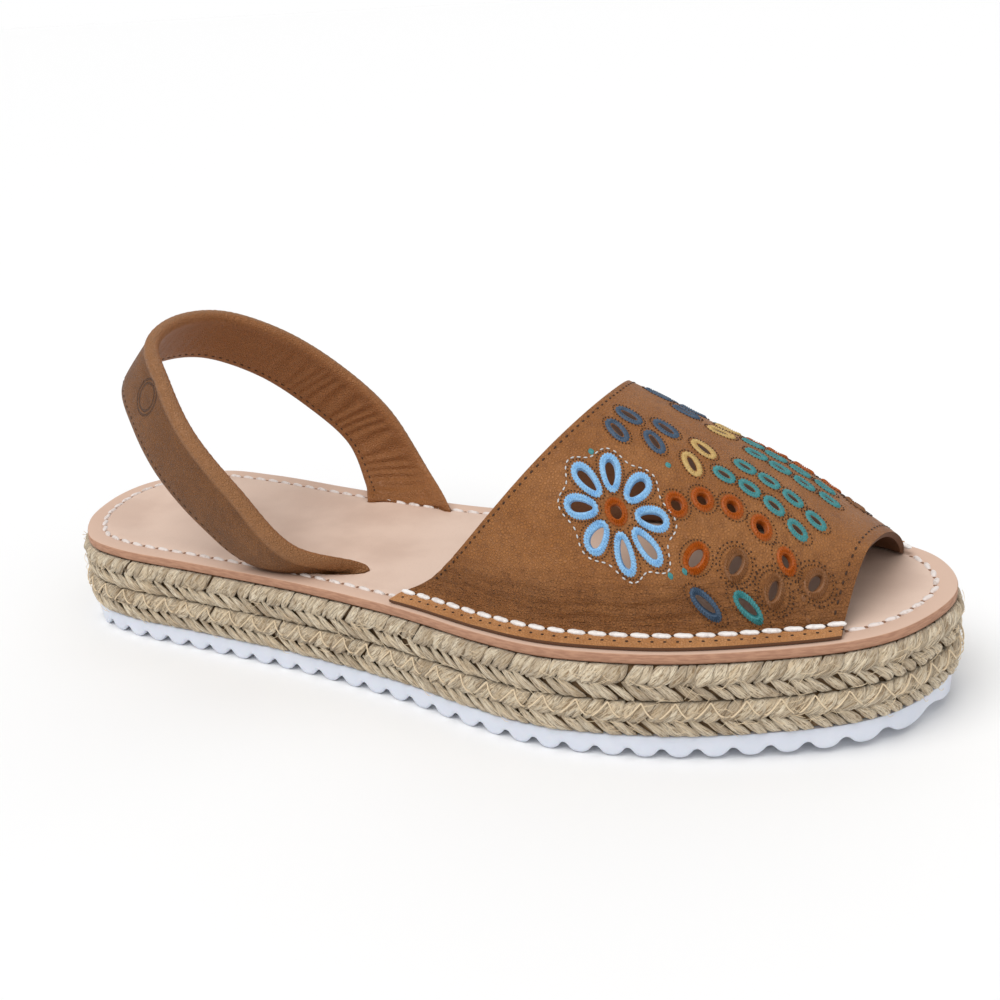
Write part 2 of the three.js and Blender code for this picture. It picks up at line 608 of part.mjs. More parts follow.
// Stations of the strap from the bottom of the outer slit round the heel to the bottom of the inner slit
function strapStations() {
  const reachX = SLIT_FRONT - STRAP_BACK;
  const half = STRAP_PATH.map((row) => {
    const top = new THREE.Vector3(
      STRAP_BACK + row.reach * reachX - SOLE_LENGTH / 2,
      row.side * STRAP_HALF_SPAN,
      BOARD_TOP + row.up * STRAP_RISE,
    );
    const low = top.clone().add(new THREE.Vector3(-row.back, row.out, -row.down).multiplyScalar(STRAP_WIDTH));
    return { top, low, bow: row.bow * STRAP_WIDTH, roll: row.roll };
  });
  const slitRow = (height) => {
    const top = slitPoint(0, 1, height).setY(SLIT_HALF_GAUGE);
    const low = slitPoint(1, 1, height).setY(SLIT_HALF_GAUGE);
    return { top, low, bow: SLIT_BOW, roll: SLIT_THICKNESS / STRAP_ROLL };
  };
  half.push(slitRow(BOARD_TOP + SLIT_THICKNESS / 2), slitRow(BOARD_BOTTOM + SEAM));
  const mirror = (row) => ({
    ...row,
    top: row.top.clone().setY(-row.top.y),
    low: row.low.clone().setY(-row.low.y),
  });
  return half.slice(1).reverse().map(mirror).concat(half);
}

// Strap: one folded band with a thick roll along its upper edge, seated in both slits
function strapGeometry() {
  const rows = strapStations();
  const last = rows.length - 1;
  const topCurve = new THREE.CatmullRomCurve3(rows.map((row) => row.top), false, 'centripetal');
  const lowCurve = new THREE.CatmullRomCurve3(rows.map((row) => row.low), false, 'centripetal');
  const table = rows.map((row, i) => ({ t: i / last, bow: row.bow, roll: row.roll }));
  const middle = (t) => topCurve.getPoint(t).lerp(lowCurve.getPoint(t), 0.5);
  const rings = [];
  for (let i = 0; i <= STRAP_STEPS; i += 1) {
    const t = i / STRAP_STEPS;
    const top = topCurve.getPoint(t);
    const low = lowCurve.getPoint(t);
    const along = middle(Math.min(t + 0.004, 1)).sub(middle(Math.max(t - 0.004, 0))).normalize();
    const outward = new THREE.Vector3().crossVectors(along, low.clone().sub(top)).normalize();
    const bow = between(table, 't', 'bow', t);
    const roll = between(table, 't', 'roll', t);
    const face = (row, hand) => {
      const flat = (row.thick * row.of * (row.of === STRAP_ROLL ? roll : 1)) / 2;
      const bowed = bow * 4 * row.across * (1 - row.across);
      return top.clone().lerp(low, row.across).addScaledVector(outward, bowed + hand * flat);
    };
    const outerFace = STRAP_SECTION.map((row) => face(row, 1));
    const innerFace = STRAP_SECTION.map((row) => face(row, -1));
    rings.push(outerFace.concat(innerFace.reverse()));
  }
  const count = rings[0].length;
  const corners = [];
  for (let k = 0; k + 1 < rings.length; k += 1) {
    for (let i = 0; i < count; i += 1) {
      const [a, b] = [k * count + i, k * count + ((i + 1) % count)];
      corners.push(a, a + count, b + count, a, b + count, b);
    }
  }
  const end = (rings.length - 1) * count;
  for (let i = 0; i + 1 < count / 2; i += 1) {
    const [a, b, c, d] = [i, i + 1, count - i - 2, count - i - 1];
    corners.push(a, b, c, a, c, d, end + a, end + c, end + b, end + a, end + d, end + c);
  }
  const placed = rings.flat().map((point) => point.setY(point.y + STRAP_AXIS_SIDE));
  const band = toSolid(meshGeometry(placed, corners));
  return toGeometry(clearOfBoard(band));
}

// Trims what would press into the insole board, except inside the slits
function clearOfBoard(band) {
  const size = 2 * SOLE_LENGTH;
  const zone = new THREE.BoxGeometry(size, size, size);
  zone.deleteAttribute('normal');
  zone.deleteAttribute('uv');
  zone.translate(0, 0, BOARD_TOP + SEAM - size / 2);
  let blocked = toSolid(zone);
  for (const side of [-1, 1]) {
    blocked = blocked.subtract(slitSolid(side, 0, BOARD_BOTTOM + SEAM, BOARD_TOP + BOARD_THICKNESS));
  }
  return band.subtract(blocked);
}

// Materials
const rubber = new THREE.MeshStandardMaterial({ color: 0xd4dae4, roughness: 0.55, metalness: 0 });
const jute = new THREE.MeshStandardMaterial({ color: 0xc4b494, roughness: 0.9, metalness: 0 });
const boardLeather = new THREE.MeshStandardMaterial({ color: 0xdfc3b1, roughness: 0.6, metalness: 0 });
const vampLeather = new THREE.MeshStandardMaterial({ color: 0x9b693e, roughness: 0.5, metalness: 0 });
const strapLeather = new THREE.MeshStandardMaterial({ color: 0x8c6241, roughness: 0.5, metalness: 0 });

function namedMesh(name, geometry, material) {
  geometry.computeVertexNormals();
  const mesh = new THREE.Mesh(geometry, material);
  mesh.name = name;
  return mesh;
}

const sandal = new THREE.Group();
sandal.add(
  namedMesh('outsole', outsoleGeometry(), rubber),
  namedMesh('jute_braid_lower', braidGeometry(BRAID_BOTTOM), jute),
  namedMesh('jute_braid_upper', braidGeometry(BRAID_BOTTOM + BRAID_RISE), jute),
  namedMesh('insole', insoleGeometry(), boardLeather),
  namedMesh('vamp', vampGeometry(), vampLeather),
  namedMesh('heel_strap', strapGeometry(), strapLeather),
);

export default sandal;
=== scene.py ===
import math

import bmesh
import bpy
import numpy as np
from mathutils import Matrix, Vector


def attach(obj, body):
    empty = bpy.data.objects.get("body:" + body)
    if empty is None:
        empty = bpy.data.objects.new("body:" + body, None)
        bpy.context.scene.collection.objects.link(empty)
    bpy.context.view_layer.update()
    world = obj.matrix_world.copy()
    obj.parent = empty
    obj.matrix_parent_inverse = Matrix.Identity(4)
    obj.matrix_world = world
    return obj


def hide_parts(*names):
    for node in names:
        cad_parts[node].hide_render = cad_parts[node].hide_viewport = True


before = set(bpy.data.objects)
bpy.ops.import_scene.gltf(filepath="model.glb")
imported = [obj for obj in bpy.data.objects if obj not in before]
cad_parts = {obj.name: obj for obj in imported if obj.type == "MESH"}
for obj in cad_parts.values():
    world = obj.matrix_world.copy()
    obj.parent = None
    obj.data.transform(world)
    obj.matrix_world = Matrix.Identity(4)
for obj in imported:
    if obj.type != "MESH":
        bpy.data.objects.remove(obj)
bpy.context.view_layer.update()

# Studio. The camera stands where the photograph was taken from: at the outer side of a right shoe, ahead
# of its middle and a little above it. The floor is pale and matt, and the lamps shine from afar, with wide
# soft shadows.
MM = 0.001
CAMERA_PLACE = Vector((176.42, -314.95, 176.17)) * MM
CAMERA_TURN = {"azimuth": 27.50, "elevation": 20.28, "roll": -3.534}
LENS = 50.46
SENSOR = 36
NEAREST_SEEN = 0.01
LAMPS = [
    {"name": "overhead", "azimuth": -22, "elevation": 60, "strength": 1.9, "spread": 48},
    {"name": "front_right", "azimuth": 75, "elevation": 34, "strength": 0.5, "spread": 70},
    {"name": "behind", "azimuth": 190, "elevation": 45, "strength": 0.45, "spread": 70},
]
SKY_LIGHT = 0.42
SKY_SEEN = 1.0
FLOOR_HALF = 12
FLOOR_PALE = (0.9, 0.9, 0.9, 1)


def facing(azimuth, elevation, roll=0.0):
    """Turns a camera or lamp so that its back points to an azimuth and elevation, then rolls it."""
    azimuth, elevation, roll = (math.radians(angle) for angle in (azimuth, elevation, roll))
    back = Vector((math.sin(azimuth) * math.cos(elevation), -math.cos(azimuth) * math.cos(elevation),
                   math.sin(elevation)))
    level = Vector((math.cos(azimuth), math.sin(azimuth), 0))
    upright = back.cross(level)
    right = math.cos(roll) * level + math.sin(roll) * upright
    up = math.cos(roll) * upright - math.sin(roll) * level
    return Matrix((right, up, back)).transposed().to_4x4()


camera_data = bpy.data.cameras.new("camera")
camera_data.lens = LENS
camera_data.sensor_width = SENSOR
camera_data.clip_start = NEAREST_SEEN
camera = bpy.data.objects.new("camera", camera_data)
camera.matrix_world = Matrix.Translation(CAMERA_PLACE) @ facing(**CAMERA_TURN)
bpy.context.scene.collection.objects.link(camera)
bpy.context.scene.camera = camera

for row in LAMPS:
    lamp_data = bpy.data.lights.new(row["name"], "SUN")
    lamp_data.energy = row["strength"]
    lamp_data.angle = math.radians(row["spread"])
    lamp = bpy.data.objects.new(row["name"], lamp_data)
    lamp.matrix_world = facing(row["azimuth"], row["elevation"])
    bpy.context.scene.collection.objects.link(lamp)

# the sky behind the floor is plain white, and gives a weaker light than it shows
sky = bpy.data.worlds.new("sky")
sky.use_nodes = True
sky_nodes = sky.node_tree.nodes
sky_nodes["Background"].inputs["Color"].default_value = (1, 1, 1, 1)
brightness = sky_nodes.new("ShaderNodeMapRange")
brightness.inputs["To Min"].default_value = SKY_LIGHT
brightness.inputs["To Max"].default_value = SKY_SEEN
sky.node_tree.links.new(sky_nodes.new("ShaderNodeLightPath").outputs["Is Camera Ray"],
                        brightness.inputs["Value"])
sky.node_tree.links.new(brightness.outputs[0], sky_nodes["Background"].inputs["Strength"])
bpy.context.scene.world = sky
bpy.context.scene.view_settings.view_transform = "Standard"


def new_finish(name, colour, **sockets):
    """A material with its constant values on the shader's own sockets."""
    made = bpy.data.materials.new(name)
    made.use_nodes = True
    shader = made.node_tree.nodes["Principled BSDF"]
    shader.inputs["Base Color"].default_value = colour
    for socket, value in sockets.items():
        shader.inputs[socket.replace("_", " ")].default_value = value
    return made


floor_mesh = bpy.data.meshes.new("floor")
floor_mesh.from_pydata([(x * FLOOR_HALF, y * FLOOR_HALF, 0) for x, y in ((-1, -1), (1, -1), (1, 1), (-1, 1))],
                       [], [(0, 1, 2, 3)])
floor_mesh.materials.append(new_finish("pale_floor", FLOOR_PALE, Roughness=0.9))
floor = bpy.data.objects.new("floor", floor_mesh)
bpy.context.scene.collection.objects.link(floor)


# Outsole. One slab of pale blue-white rubber under the whole sandal, cemented to the lower braid. It is
# moulded with round-topped grooves across its underside, which show along both sides as a scalloped edge.
SOLE_LENGTH = 260.7
BALL_WIDTH = 91.3
HEEL_WIDTH = 70
TOE_SPRING = 2.45
SPRING_START = 160
# behind the waist the outline's sides are shares of the heel's width, and ahead of it of the ball's
WAIST = 0.4
# the outline from the heel along the outer side and back: share of the length, and side
OUTLINE = [
    (0.0, 0.15), (0.014, -0.102), (0.036, -0.241), (0.07, -0.36), (0.125, -0.42), (0.228, -0.441),
    (0.376, -0.474), (0.506, -0.417), (0.6, -0.48), (0.669, -0.502), (0.745, -0.473), (0.797, -0.432),
    (0.861, -0.354), (0.931, -0.242), (0.967, -0.141), (0.992, 0.007), (1.0, 0.133), (0.991, 0.255),
    (0.965, 0.371), (0.928, 0.438), (0.842, 0.492), (0.746, 0.498), (0.65, 0.47), (0.554, 0.416),
    (0.465, 0.38), (0.362, 0.5), (0.268, 0.53), (0.149, 0.575), (0.071, 0.553), (0.0115, 0.338),
]
RIM_POINTS = 2600
OUTSOLE_THICKNESS = 5.86
OUTSOLE_INSET = 0.3
RIB_PITCH = 7.857
RIB_DEPTH = 2.17
# half a rib from the middle of a groove to the middle of a lobe: place and height, both as shares
RIB_PROFILE = [(0, 1), (0.1, 0.98), (0.19, 0.89), (0.28, 0.7), (0.4, 0.44), (0.53, 0.23), (0.68, 0.09),
               (0.84, 0.02), (1, 0)]
FIRST_GROOVE = 6.55
OUTSOLE_STEP = 0.4
OUTSOLE_END = 5.2
# one side of the slab from its top to its underside: how far in, 1 at the top or 0 below, and how far up
SLAB_SIDE = [(0.7, 1, 0), (0.2, 1, -0.12), (0, 1, -0.5), (0, 0, 1.1), (0.12, 0, 0.5), (0.4, 0, 0.15),
             (0.9, 0, 0)]


def smooth_curve(points, closed, samples):
    """Centripetal Catmull-Rom curve through the points, at even steps of its parameter."""
    points = np.asarray(points, float)
    count = len(points)
    spans = count if closed else count - 1
    run = []
    for place in np.linspace(0, spans, samples, endpoint=not closed):
        k = min(int(place), spans - 1)
        t = place - k
        if closed:
            p0, p1, p2, p3 = (points[(k + step) % count] for step in (-1, 0, 1, 2))
        else:
            p1, p2 = points[k], points[k + 1]
            p0 = points[k - 1] if k > 0 else 2 * p1 - p2
            p3 = points[k + 2] if k + 2 < count else 2 * p2 - p1
        d0, d1, d2 = (max(np.linalg.norm(b - a), 1e-6) ** 0.5 for a, b in ((p0, p1), (p1, p2), (p2, p3)))
        leave = ((p1 - p0) / d0 - (p2 - p0) / (d0 + d1) + (p2 - p1) / d1) * d1
        arrive = ((p2 - p1) / d1 - (p3 - p1) / (d1 + d2) + (p3 - p2) / d2) * d1
        run.append(p1 * (1 + 2 * t) * (1 - t) ** 2 + leave * t * (1 - t) ** 2
                   + p2 * t ** 2 * (3 - 2 * t) - arrive * t ** 2 * (1 - t))
    return np.array(run)


def length_along(points):
    """Distance along a run of points to each of them."""
    return np.concatenate([[0], np.cumsum(np.linalg.norm(np.diff(points, axis=0), axis=1))])


def at_distance(places, reached, points):
    """Points at some distances along a run, which reaches its own points at the distances reached."""
    return np.stack([np.interp(places, reached, column) for column in points.T], -1)


def unit(vectors):
    """The same directions with a length of 1."""
    return vectors / np.maximum(np.linalg.norm(vectors, axis=-1), 1e-9)[..., None]


def square_to(along):
    """Flat directions square to others, on their right."""
    return np.stack([along[:, 1], -along[:, 0]], -1)


def even_run(points, count):
    """The same closed run of points at even distances, and its whole length."""
    loop = np.vstack([points, points[:1]])
    reached = length_along(loop)
    return at_distance(np.linspace(0, reached[-1], count, endpoint=False), reached, loop), reached[-1]


rim, RIM_LENGTH = even_run(
    smooth_curve([((at - 0.5) * SOLE_LENGTH, side * (HEEL_WIDTH if at < WAIST else BALL_WIDTH))
                  for at, side in OUTLINE], True, RIM_POINTS), RIM_POINTS)
rim_along = unit(np.roll(rim, -6, axis=0) - np.roll(rim, 6, axis=0))
rim_outward = square_to(rim_along)


def rim_place(along, outward):
    """Places on the sole's outline, along mm from the heel end by the outer side, moved outward in mm."""
    along, outward = np.broadcast_arrays(np.asarray(along, float), np.asarray(outward, float))
    share = (along / RIM_LENGTH) % 1 * RIM_POINTS
    k = np.floor(share).astype(int)
    part = (share - k)[..., None]
    k = k % RIM_POINTS
    after = (k + 1) % RIM_POINTS
    base = rim[k] * (1 - part) + rim[after] * part
    away = rim_outward[k] * (1 - part) + rim_outward[after] * part
    return base + away * outward[..., None]


def rim_halves(outward):
    """The outline moved outward, split at heel and toe: outer side and inner side, both heel to toe."""
    loop = rim_place(np.arange(RIM_POINTS) * RIM_LENGTH / RIM_POINTS, outward)
    loop = np.roll(loop, -int(np.argmin(loop[:, 0])), axis=0)
    toe = int(np.argmax(loop[:, 0]))
    return loop[:toe + 1], np.vstack([loop[toe:], loop[:1]])[::-1]


def sides_at(outward, x):
    """Where the moved outline crosses lines across the sole: y on the outer side, then the inner side."""
    outer, inner = rim_halves(outward)
    return [np.interp(x, np.maximum.accumulate(half[:, 0]), half[:, 1]) for half in (outer, inner)]


def toe_spring(x):
    """Rise of every layer toward the toe."""
    share = np.maximum(np.asarray(x) + SOLE_LENGTH / 2 - SPRING_START, 0) / (SOLE_LENGTH - SPRING_START)
    return TOE_SPRING * share ** 2


def grid_faces(rows, columns, around=False, start=0):
    """Corners of the quads between rows of points; around joins the last column to the first."""
    r = np.arange(rows - 1)[:, None]
    c = np.arange(columns if around else columns - 1)[None, :]
    a = start + r * columns + c
    b = start + r * columns + (c + 1) % columns
    return np.stack([a, b, b + columns, a + columns], axis=-1).reshape(-1, 4)


def closed_faces(rows, count):
    """Faces of a row of closed sections of count points each, with a face at either end."""
    ends = [list(range(count))[::-1], list(range((rows - 1) * count, rows * count))]
    return grid_faces(rows, count, around=True).tolist() + ends


def build_piece(name, points, faces, finishes, finish_of_face=None, marks=None, sharp=38, merge=False):
    """A smooth mesh from points in mm. marks are named numbers on its points, for its finish."""
    mesh = bpy.data.meshes.new(name)
    faces = faces.tolist() if isinstance(faces, np.ndarray) else faces
    mesh.from_pydata((np.asarray(points).reshape(-1, 3) * MM).tolist(), [], faces)
    for finish in finishes:
        mesh.materials.append(finish)
    if finish_of_face is not None:
        mesh.polygons.foreach_set("material_index", np.asarray(finish_of_face, dtype=np.int32))
    for mark, values in (marks or {}).items():
        layer = mesh.attributes.new(mark, "FLOAT", "POINT")
        layer.data.foreach_set("value", np.asarray(values, dtype=np.float32).ravel())
    work = bmesh.new()
    work.from_mesh(mesh)
    if merge:
        bmesh.ops.remove_doubles(work, verts=work.verts, dist=0.002 * MM)
        bmesh.ops.dissolve_degenerate(work, edges=work.edges, dist=0.001 * MM)
    bmesh.ops.recalc_face_normals(work, faces=work.faces)
    work.to_mesh(mesh)
    work.free()
    mesh.polygons.foreach_set("use_smooth", np.ones(len(mesh.polygons), dtype=bool))
    mesh.set_sharp_from_angle(angle=math.radians(sharp))
    piece = bpy.data.objects.new(name, mesh)
    bpy.context.scene.collection.objects.link(piece)
    return piece


def rib_up(x):
    """Height of the underside over the ribs' flats, with a round-topped groove at every pitch."""
    off = (np.asarray(x) + SOLE_LENGTH / 2 - FIRST_GROOVE + RIB_PITCH / 2) % RIB_PITCH - RIB_PITCH / 2
    return RIB_DEPTH * np.interp(np.abs(off) / (RIB_PITCH / 2), *zip(*RIB_PROFILE))


def outsole_slab():
    """Sections of the slab from heel to toe, as points and faces."""
    outer = rim_halves(-OUTSOLE_INSET)[0]
    first, last = outer[0, 0], outer[-1, 0]
    ends = OUTSOLE_END * np.linspace(0.02, 1, 18, endpoint=False) ** 2
    middle = np.arange(first + OUTSOLE_END, last - OUTSOLE_END, OUTSOLE_STEP)
    x = np.concatenate([first + ends, middle, last - ends[::-1]])
    y_outer, y_inner = sides_at(-OUTSOLE_INSET, x)
    half = (y_inner - y_outer) / 2
    low = rib_up(x)
    rows = []
    for inset, top, lift in SLAB_SIDE + SLAB_SIDE[::-1]:
        inwards = np.minimum(inset, half * 0.8)
        y = y_outer + inwards if len(rows) < len(SLAB_SIDE) else y_inner - inwards
        z = np.where(top, OUTSOLE_THICKNESS, low) + lift + toe_spring(x)
        rows.append(np.stack([x, y, z], -1))
    return np.stack(rows, 1), closed_faces(len(x), len(rows))


def paint(red, green, blue):
    """A shader colour from the red, green and blue that a screen shows, 0 to 255."""
    levels = [level / 255 for level in (red, green, blue)]
    return tuple(v / 12.92 if v <= 0.04045 else ((v + 0.055) / 1.055) ** 2.4 for v in levels) + (1.0,)


def put_node(finish, kind, inputs=None, **settings):
    """Adds a node to a finish; an input is a number, a colour or another node's output."""
    tree = finish.node_tree
    made = tree.nodes.new("ShaderNode" + kind)
    for key, value in settings.items():
        setattr(made, key, value)
    for socket, value in (inputs or {}).items():
        if isinstance(value, bpy.types.NodeSocket):
            tree.links.new(value, made.inputs[socket])
        else:
            made.inputs[socket].default_value = value
    return made


def blend_of(finish, share, first, second, blend_type="MIX"):
    """Output of a colour mix: share 0 shows the first colour, 1 the second."""
    inputs = {0: share, 6: first, 7: second}
    return put_node(finish, "Mix", inputs, data_type="RGBA", blend_type=blend_type).outputs[2]


def speckle(finish, size, coarse=2.0, stretch=(1, 1, 1), rough=0.5, place=None):
    """Noise whose spots are about size mm across, in the object's own coordinates, from 0 to 1."""
    if place is None:
        place = put_node(finish, "TexCoord").outputs["Object"]
        stretch = [share / MM for share in stretch]
    scaled = put_node(finish, "VectorMath", {0: place, 1: stretch}, operation="MULTIPLY").outputs[0]
    inputs = {"Vector": scaled, "Scale": 1 / size, "Detail": coarse, "Roughness": rough}
    return put_node(finish, "TexNoise", inputs).outputs["Fac"]


def shade_with(finish, socket, output):
    """Feeds a shader socket from a node."""
    finish.node_tree.links.new(output, finish.node_tree.nodes["Principled BSDF"].inputs[socket])


def raise_by(finish, height, depth, below=None):
    """Relief of a finish: height from 0 to 1 stands for depth mm. Returns the bumped normal."""
    inputs = {"Height": height, "Distance": depth * MM, "Strength": 1.0}
    if below is not None:
        inputs["Normal"] = below
    normal = put_node(finish, "Bump", inputs).outputs["Normal"]
    shade_with(finish, "Normal", normal)
    return normal


RUBBER = paint(230, 234, 243)
RUBBER_SHADE = paint(212, 218, 232)
rubber = new_finish("outsole_rubber_finish", RUBBER, Roughness=0.5, Specular_IOR_Level=0.4,
                    Subsurface_Weight=0.05, Subsurface_Scale=0.002)
shade_with(rubber, "Base Color", blend_of(rubber, speckle(rubber, 9.0, 3.0), RUBBER, RUBBER_SHADE))
raise_by(rubber, speckle(rubber, 0.5, 3.0), 0.05, raise_by(rubber, speckle(rubber, 3.0, 2.0), 0.08))

slab = build_piece("outsole_slab", *outsole_slab(), [rubber], sharp=50)
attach(slab, "root")
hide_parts("outsole")


# Jute braids. Two flat plaits of jute yarn are wound on edge round the sole, one on the other. Each shows
# two rows of slanted strands that meet in a herringbone, and a thin thread whips the two together.
BRAID_HEIGHT = 9.13
SEAM = 0.3
BRAID_BOTTOM = OUTSOLE_THICKNESS + SEAM
BRAID_RISE = BRAID_HEIGHT + SEAM
STRAND_PITCH = 3.85
STRAND_RINGS = 11
STRAND_SIDES = 14
CORE_STATIONS = 640
# the core from the braid's bottom to its top: height as a share of the braid, and mm outward
CORE_SECTION = [(0.0, -12), (0.0, -1.2), (0.2, -0.4), (0.5, -0.6), (0.8, -0.4), (1.0, -1.2), (1.0, -12)]
JUTE = paint(226, 204, 170)
JUTE_LIGHT = paint(248, 234, 208)
JUTE_DARK = paint(146, 118, 84)
# the core's dark colour is painted shade in the gaps between the strands
JUTE_CORE_SHADE = paint(128, 102, 72)
# spine and edge are heights where a strand starts and ends, as shares of the braid; lean is how far it
# runs along the sole on its way; wide and fat are its half width and half thickness; out is how far the
# row stands out; tilt is how far one side of a strand tucks under the next; full is where along it the
# strand is widest; loose is how much the strands of a row differ; split is how many share one pitch
LOW_ROW = {"spine": 0.56, "edge": -0.05, "lean": 6.6, "wide": 1.32, "fat": 0.80, "out": 0.0, "tilt": 0.30,
           "full": 0.58, "loose": 1.0, "split": 1}
HIGH_ROW = {"spine": 0.46, "edge": 1.05, "lean": 3.8, "wide": 1.4, "fat": 0.72, "out": 0.12, "tilt": 0.3,
            "full": 0.5, "loose": 1.5, "split": 2}
STRAND_ROWS = {
    "braid_upper": [LOW_ROW, HIGH_ROW],
    "braid_lower": [LOW_ROW, {**HIGH_ROW, "lean": 4.4, "fat": 0.74, "out": 0.14}],
}
# how much strands differ in place, size, how far they stand out and tint
STRAND_SPREAD = np.array([0.24, 0.09, 0.12, 0.6])
# ridges of the yarns in a strand: height, number, twist and how far the strand's own phase turns them
YARN_RIDGES = [(0.13, 7, 2.5, 1), (0.07, 13, -3, 2)]
# how far the strands stand out, from the bottom of a braid to its top
BRAID_BULGE = [(0.0, -0.5), (0.1, 0.25), (0.25, 0.62), (0.5, 0.42), (0.75, 0.62), (0.9, 0.25), (1.0, -0.5)]
chance = np.random.default_rng(38)


def on_sole(xy, height):
    """Flat places as points in space at a height in mm, to which the toe spring adds."""
    return np.column_stack([xy, height + toe_spring(xy[:, 0])])


def braid_core(bottom):
    """Body of one braid behind its strands, as points and faces. Its dark finish is painted shade for the
    gaps between the strands.
    """
    along = np.arange(CORE_STATIONS) * RIM_LENGTH / CORE_STATIONS
    rows = [on_sole(rim_place(along, outward), bottom + up * BRAID_HEIGHT) for up, outward in CORE_SECTION]
    return np.concatenate(rows), grid_faces(len(CORE_SECTION), CORE_STATIONS, around=True)


def braid_strands(bottom, rows):
    """Every strand of one braid as a tapered, slightly twisted bundle. Returns points, faces, marks."""
    q = np.linspace(0, 1, STRAND_RINGS)[None, :, None]
    angle = (np.arange(STRAND_SIDES) * 2 * math.pi / STRAND_SIDES - math.pi / 2)[None, None, :]
    one = closed_faces(STRAND_RINGS, STRAND_SIDES)
    per = STRAND_RINGS * STRAND_SIDES
    points, faces, fibres, around, tint = [], [], [], [], []
    start = 0
    for row in rows:
        count = round(RIM_LENGTH / STRAND_PITCH) * row["split"]
        pitch = RIM_LENGTH / count
        shift, size, lift, shade = (chance.normal(0, spread, count)[:, None, None]
                                    for spread in STRAND_SPREAD * row["loose"])
        phase = chance.uniform(0, 2 * math.pi, count)[:, None, None]
        rise = (row["edge"] - row["spine"]) * BRAID_HEIGHT
        up = row["spine"] * BRAID_HEIGHT + rise * q
        bend = chance.normal(0.4, 0.35 * row["loose"], count)[:, None, None] * np.sin(np.pi * q)
        s = (np.arange(count) * pitch)[:, None, None] + shift + row["lean"] * q ** 1.12 + bend
        full = np.sin(np.pi * np.interp(q, (0, row["full"], 1), (0.07, 0.5, 0.86))) ** 0.75
        wide = row["wide"] * (1 + size) * full
        yarns = sum(height * np.cos(ridges * np.cos(angle) * math.pi / 2 + twist * q + turns * phase)
                    for height, ridges, twist, turns in YARN_RIDGES)
        fat = (row["fat"] * (1 + size) + yarns) * full
        length = math.hypot(row["lean"], rise)
        cross_s, cross_up = rise / length, -row["lean"] / length
        sign = math.copysign(1, cross_s)
        bulge = np.interp(up / BRAID_HEIGHT, *zip(*BRAID_BULGE))
        outward = bulge + row["out"] + lift + fat * np.sin(angle) + row["tilt"] * sign * np.cos(angle) * full
        s_all = s + cross_s * wide * np.cos(angle)
        up_all = np.clip(up + cross_up * wide * np.cos(angle), 0.02, BRAID_HEIGHT - 0.02)
        s_all, up_all, outward = np.broadcast_arrays(s_all, up_all, outward)
        xy = rim_place(s_all, outward)
        xyz = np.concatenate([xy, (bottom + up_all + toe_spring(xy[..., 0]))[..., None]], -1)
        points.append(xyz.reshape(-1, 3))
        for _ in range(count):
            faces.extend([[corner + start for corner in face] for face in one])
            start += per
        shape = xyz.shape[:3]
        fibres.append(np.broadcast_to(q * length + phase * 9, shape).ravel())
        around.append(np.broadcast_to((angle + 0.6 * q) * row["wide"], shape).ravel())
        tint.append(np.broadcast_to(0.5 + 0.5 * np.tanh(shade), shape).ravel())
    marks = {"fibre": np.concatenate(fibres), "around": np.concatenate(around), "tint": np.concatenate(tint)}
    return np.concatenate(points), faces, marks


def steps_of(finish, share, low, high, top=1.0):
    """Spreads the part of a value between low and high to 0 and top, smoothly."""
    inputs = {"Value": share, "From Min": low, "From Max": high, "To Min": 0.0, "To Max": top}
    return put_node(finish, "MapRange", inputs, interpolation_type="SMOOTHSTEP").outputs[0]


def mark_of(finish, name):
    """A value that the mesh code wrote on each point of a piece."""
    return put_node(finish, "Attribute", attribute_name=name).outputs["Fac"]


def two_tone(name, colour, second, spots, steps=None, relief=None, **sockets):
    """A finish of two colours. spots is a speckle's size and detail, relief has a depth in mm as well."""
    made = new_finish(name, colour, **sockets)
    share = speckle(made, *spots)
    if steps:
        share = steps_of(made, share, *steps)
    shade_with(made, "Base Color", blend_of(made, share, colour, second))
    if relief:
        raise_by(made, speckle(made, *relief[:2]), relief[2])
    return made


def jute_finish():
    """Pale yarn whose fibres run along each strand, with dark gaps between them that are partly darker fibre
    and partly painted shade.
    """
    made = new_finish("jute_yarn", JUTE, Roughness=0.85, Specular_IOR_Level=0.2,
                      Sheen_Weight=0.25, Sheen_Roughness=0.5)
    place = put_node(made, "CombineXYZ", {"X": mark_of(made, "fibre"), "Y": mark_of(made, "around"),
                                          "Z": mark_of(made, "tint")}).outputs[0]
    hair = speckle(made, 1.0, 3.5, (0.36, 2.5, 2.0), 0.78, place)
    streak = speckle(made, 1.0, 2.0, (0.12, 1.6, 3.0), 0.6, place)
    body = blend_of(made, steps_of(made, streak, 0.3, 0.7), JUTE, JUTE_LIGHT)
    # dark gaps between the fibres: partly the yarn's darker fibres, partly painted shade
    body = blend_of(made, steps_of(made, hair, 0.54, 0.36, 0.9), body, JUTE_DARK)
    body = blend_of(made, steps_of(made, mark_of(made, "tint"), 0.5, 0.0, 0.4), body, JUTE_DARK)
    shade_with(made, "Base Color", body)
    raise_by(made, hair, 0.9)
    return made


jute = jute_finish()
# the core's dark finish is painted shade between the strands
core = two_tone("jute_core_shade", JUTE_CORE_SHADE, JUTE_DARK, (0.8, 3.0), relief=(0.6, 4.0, 0.3), Roughness=0.95)

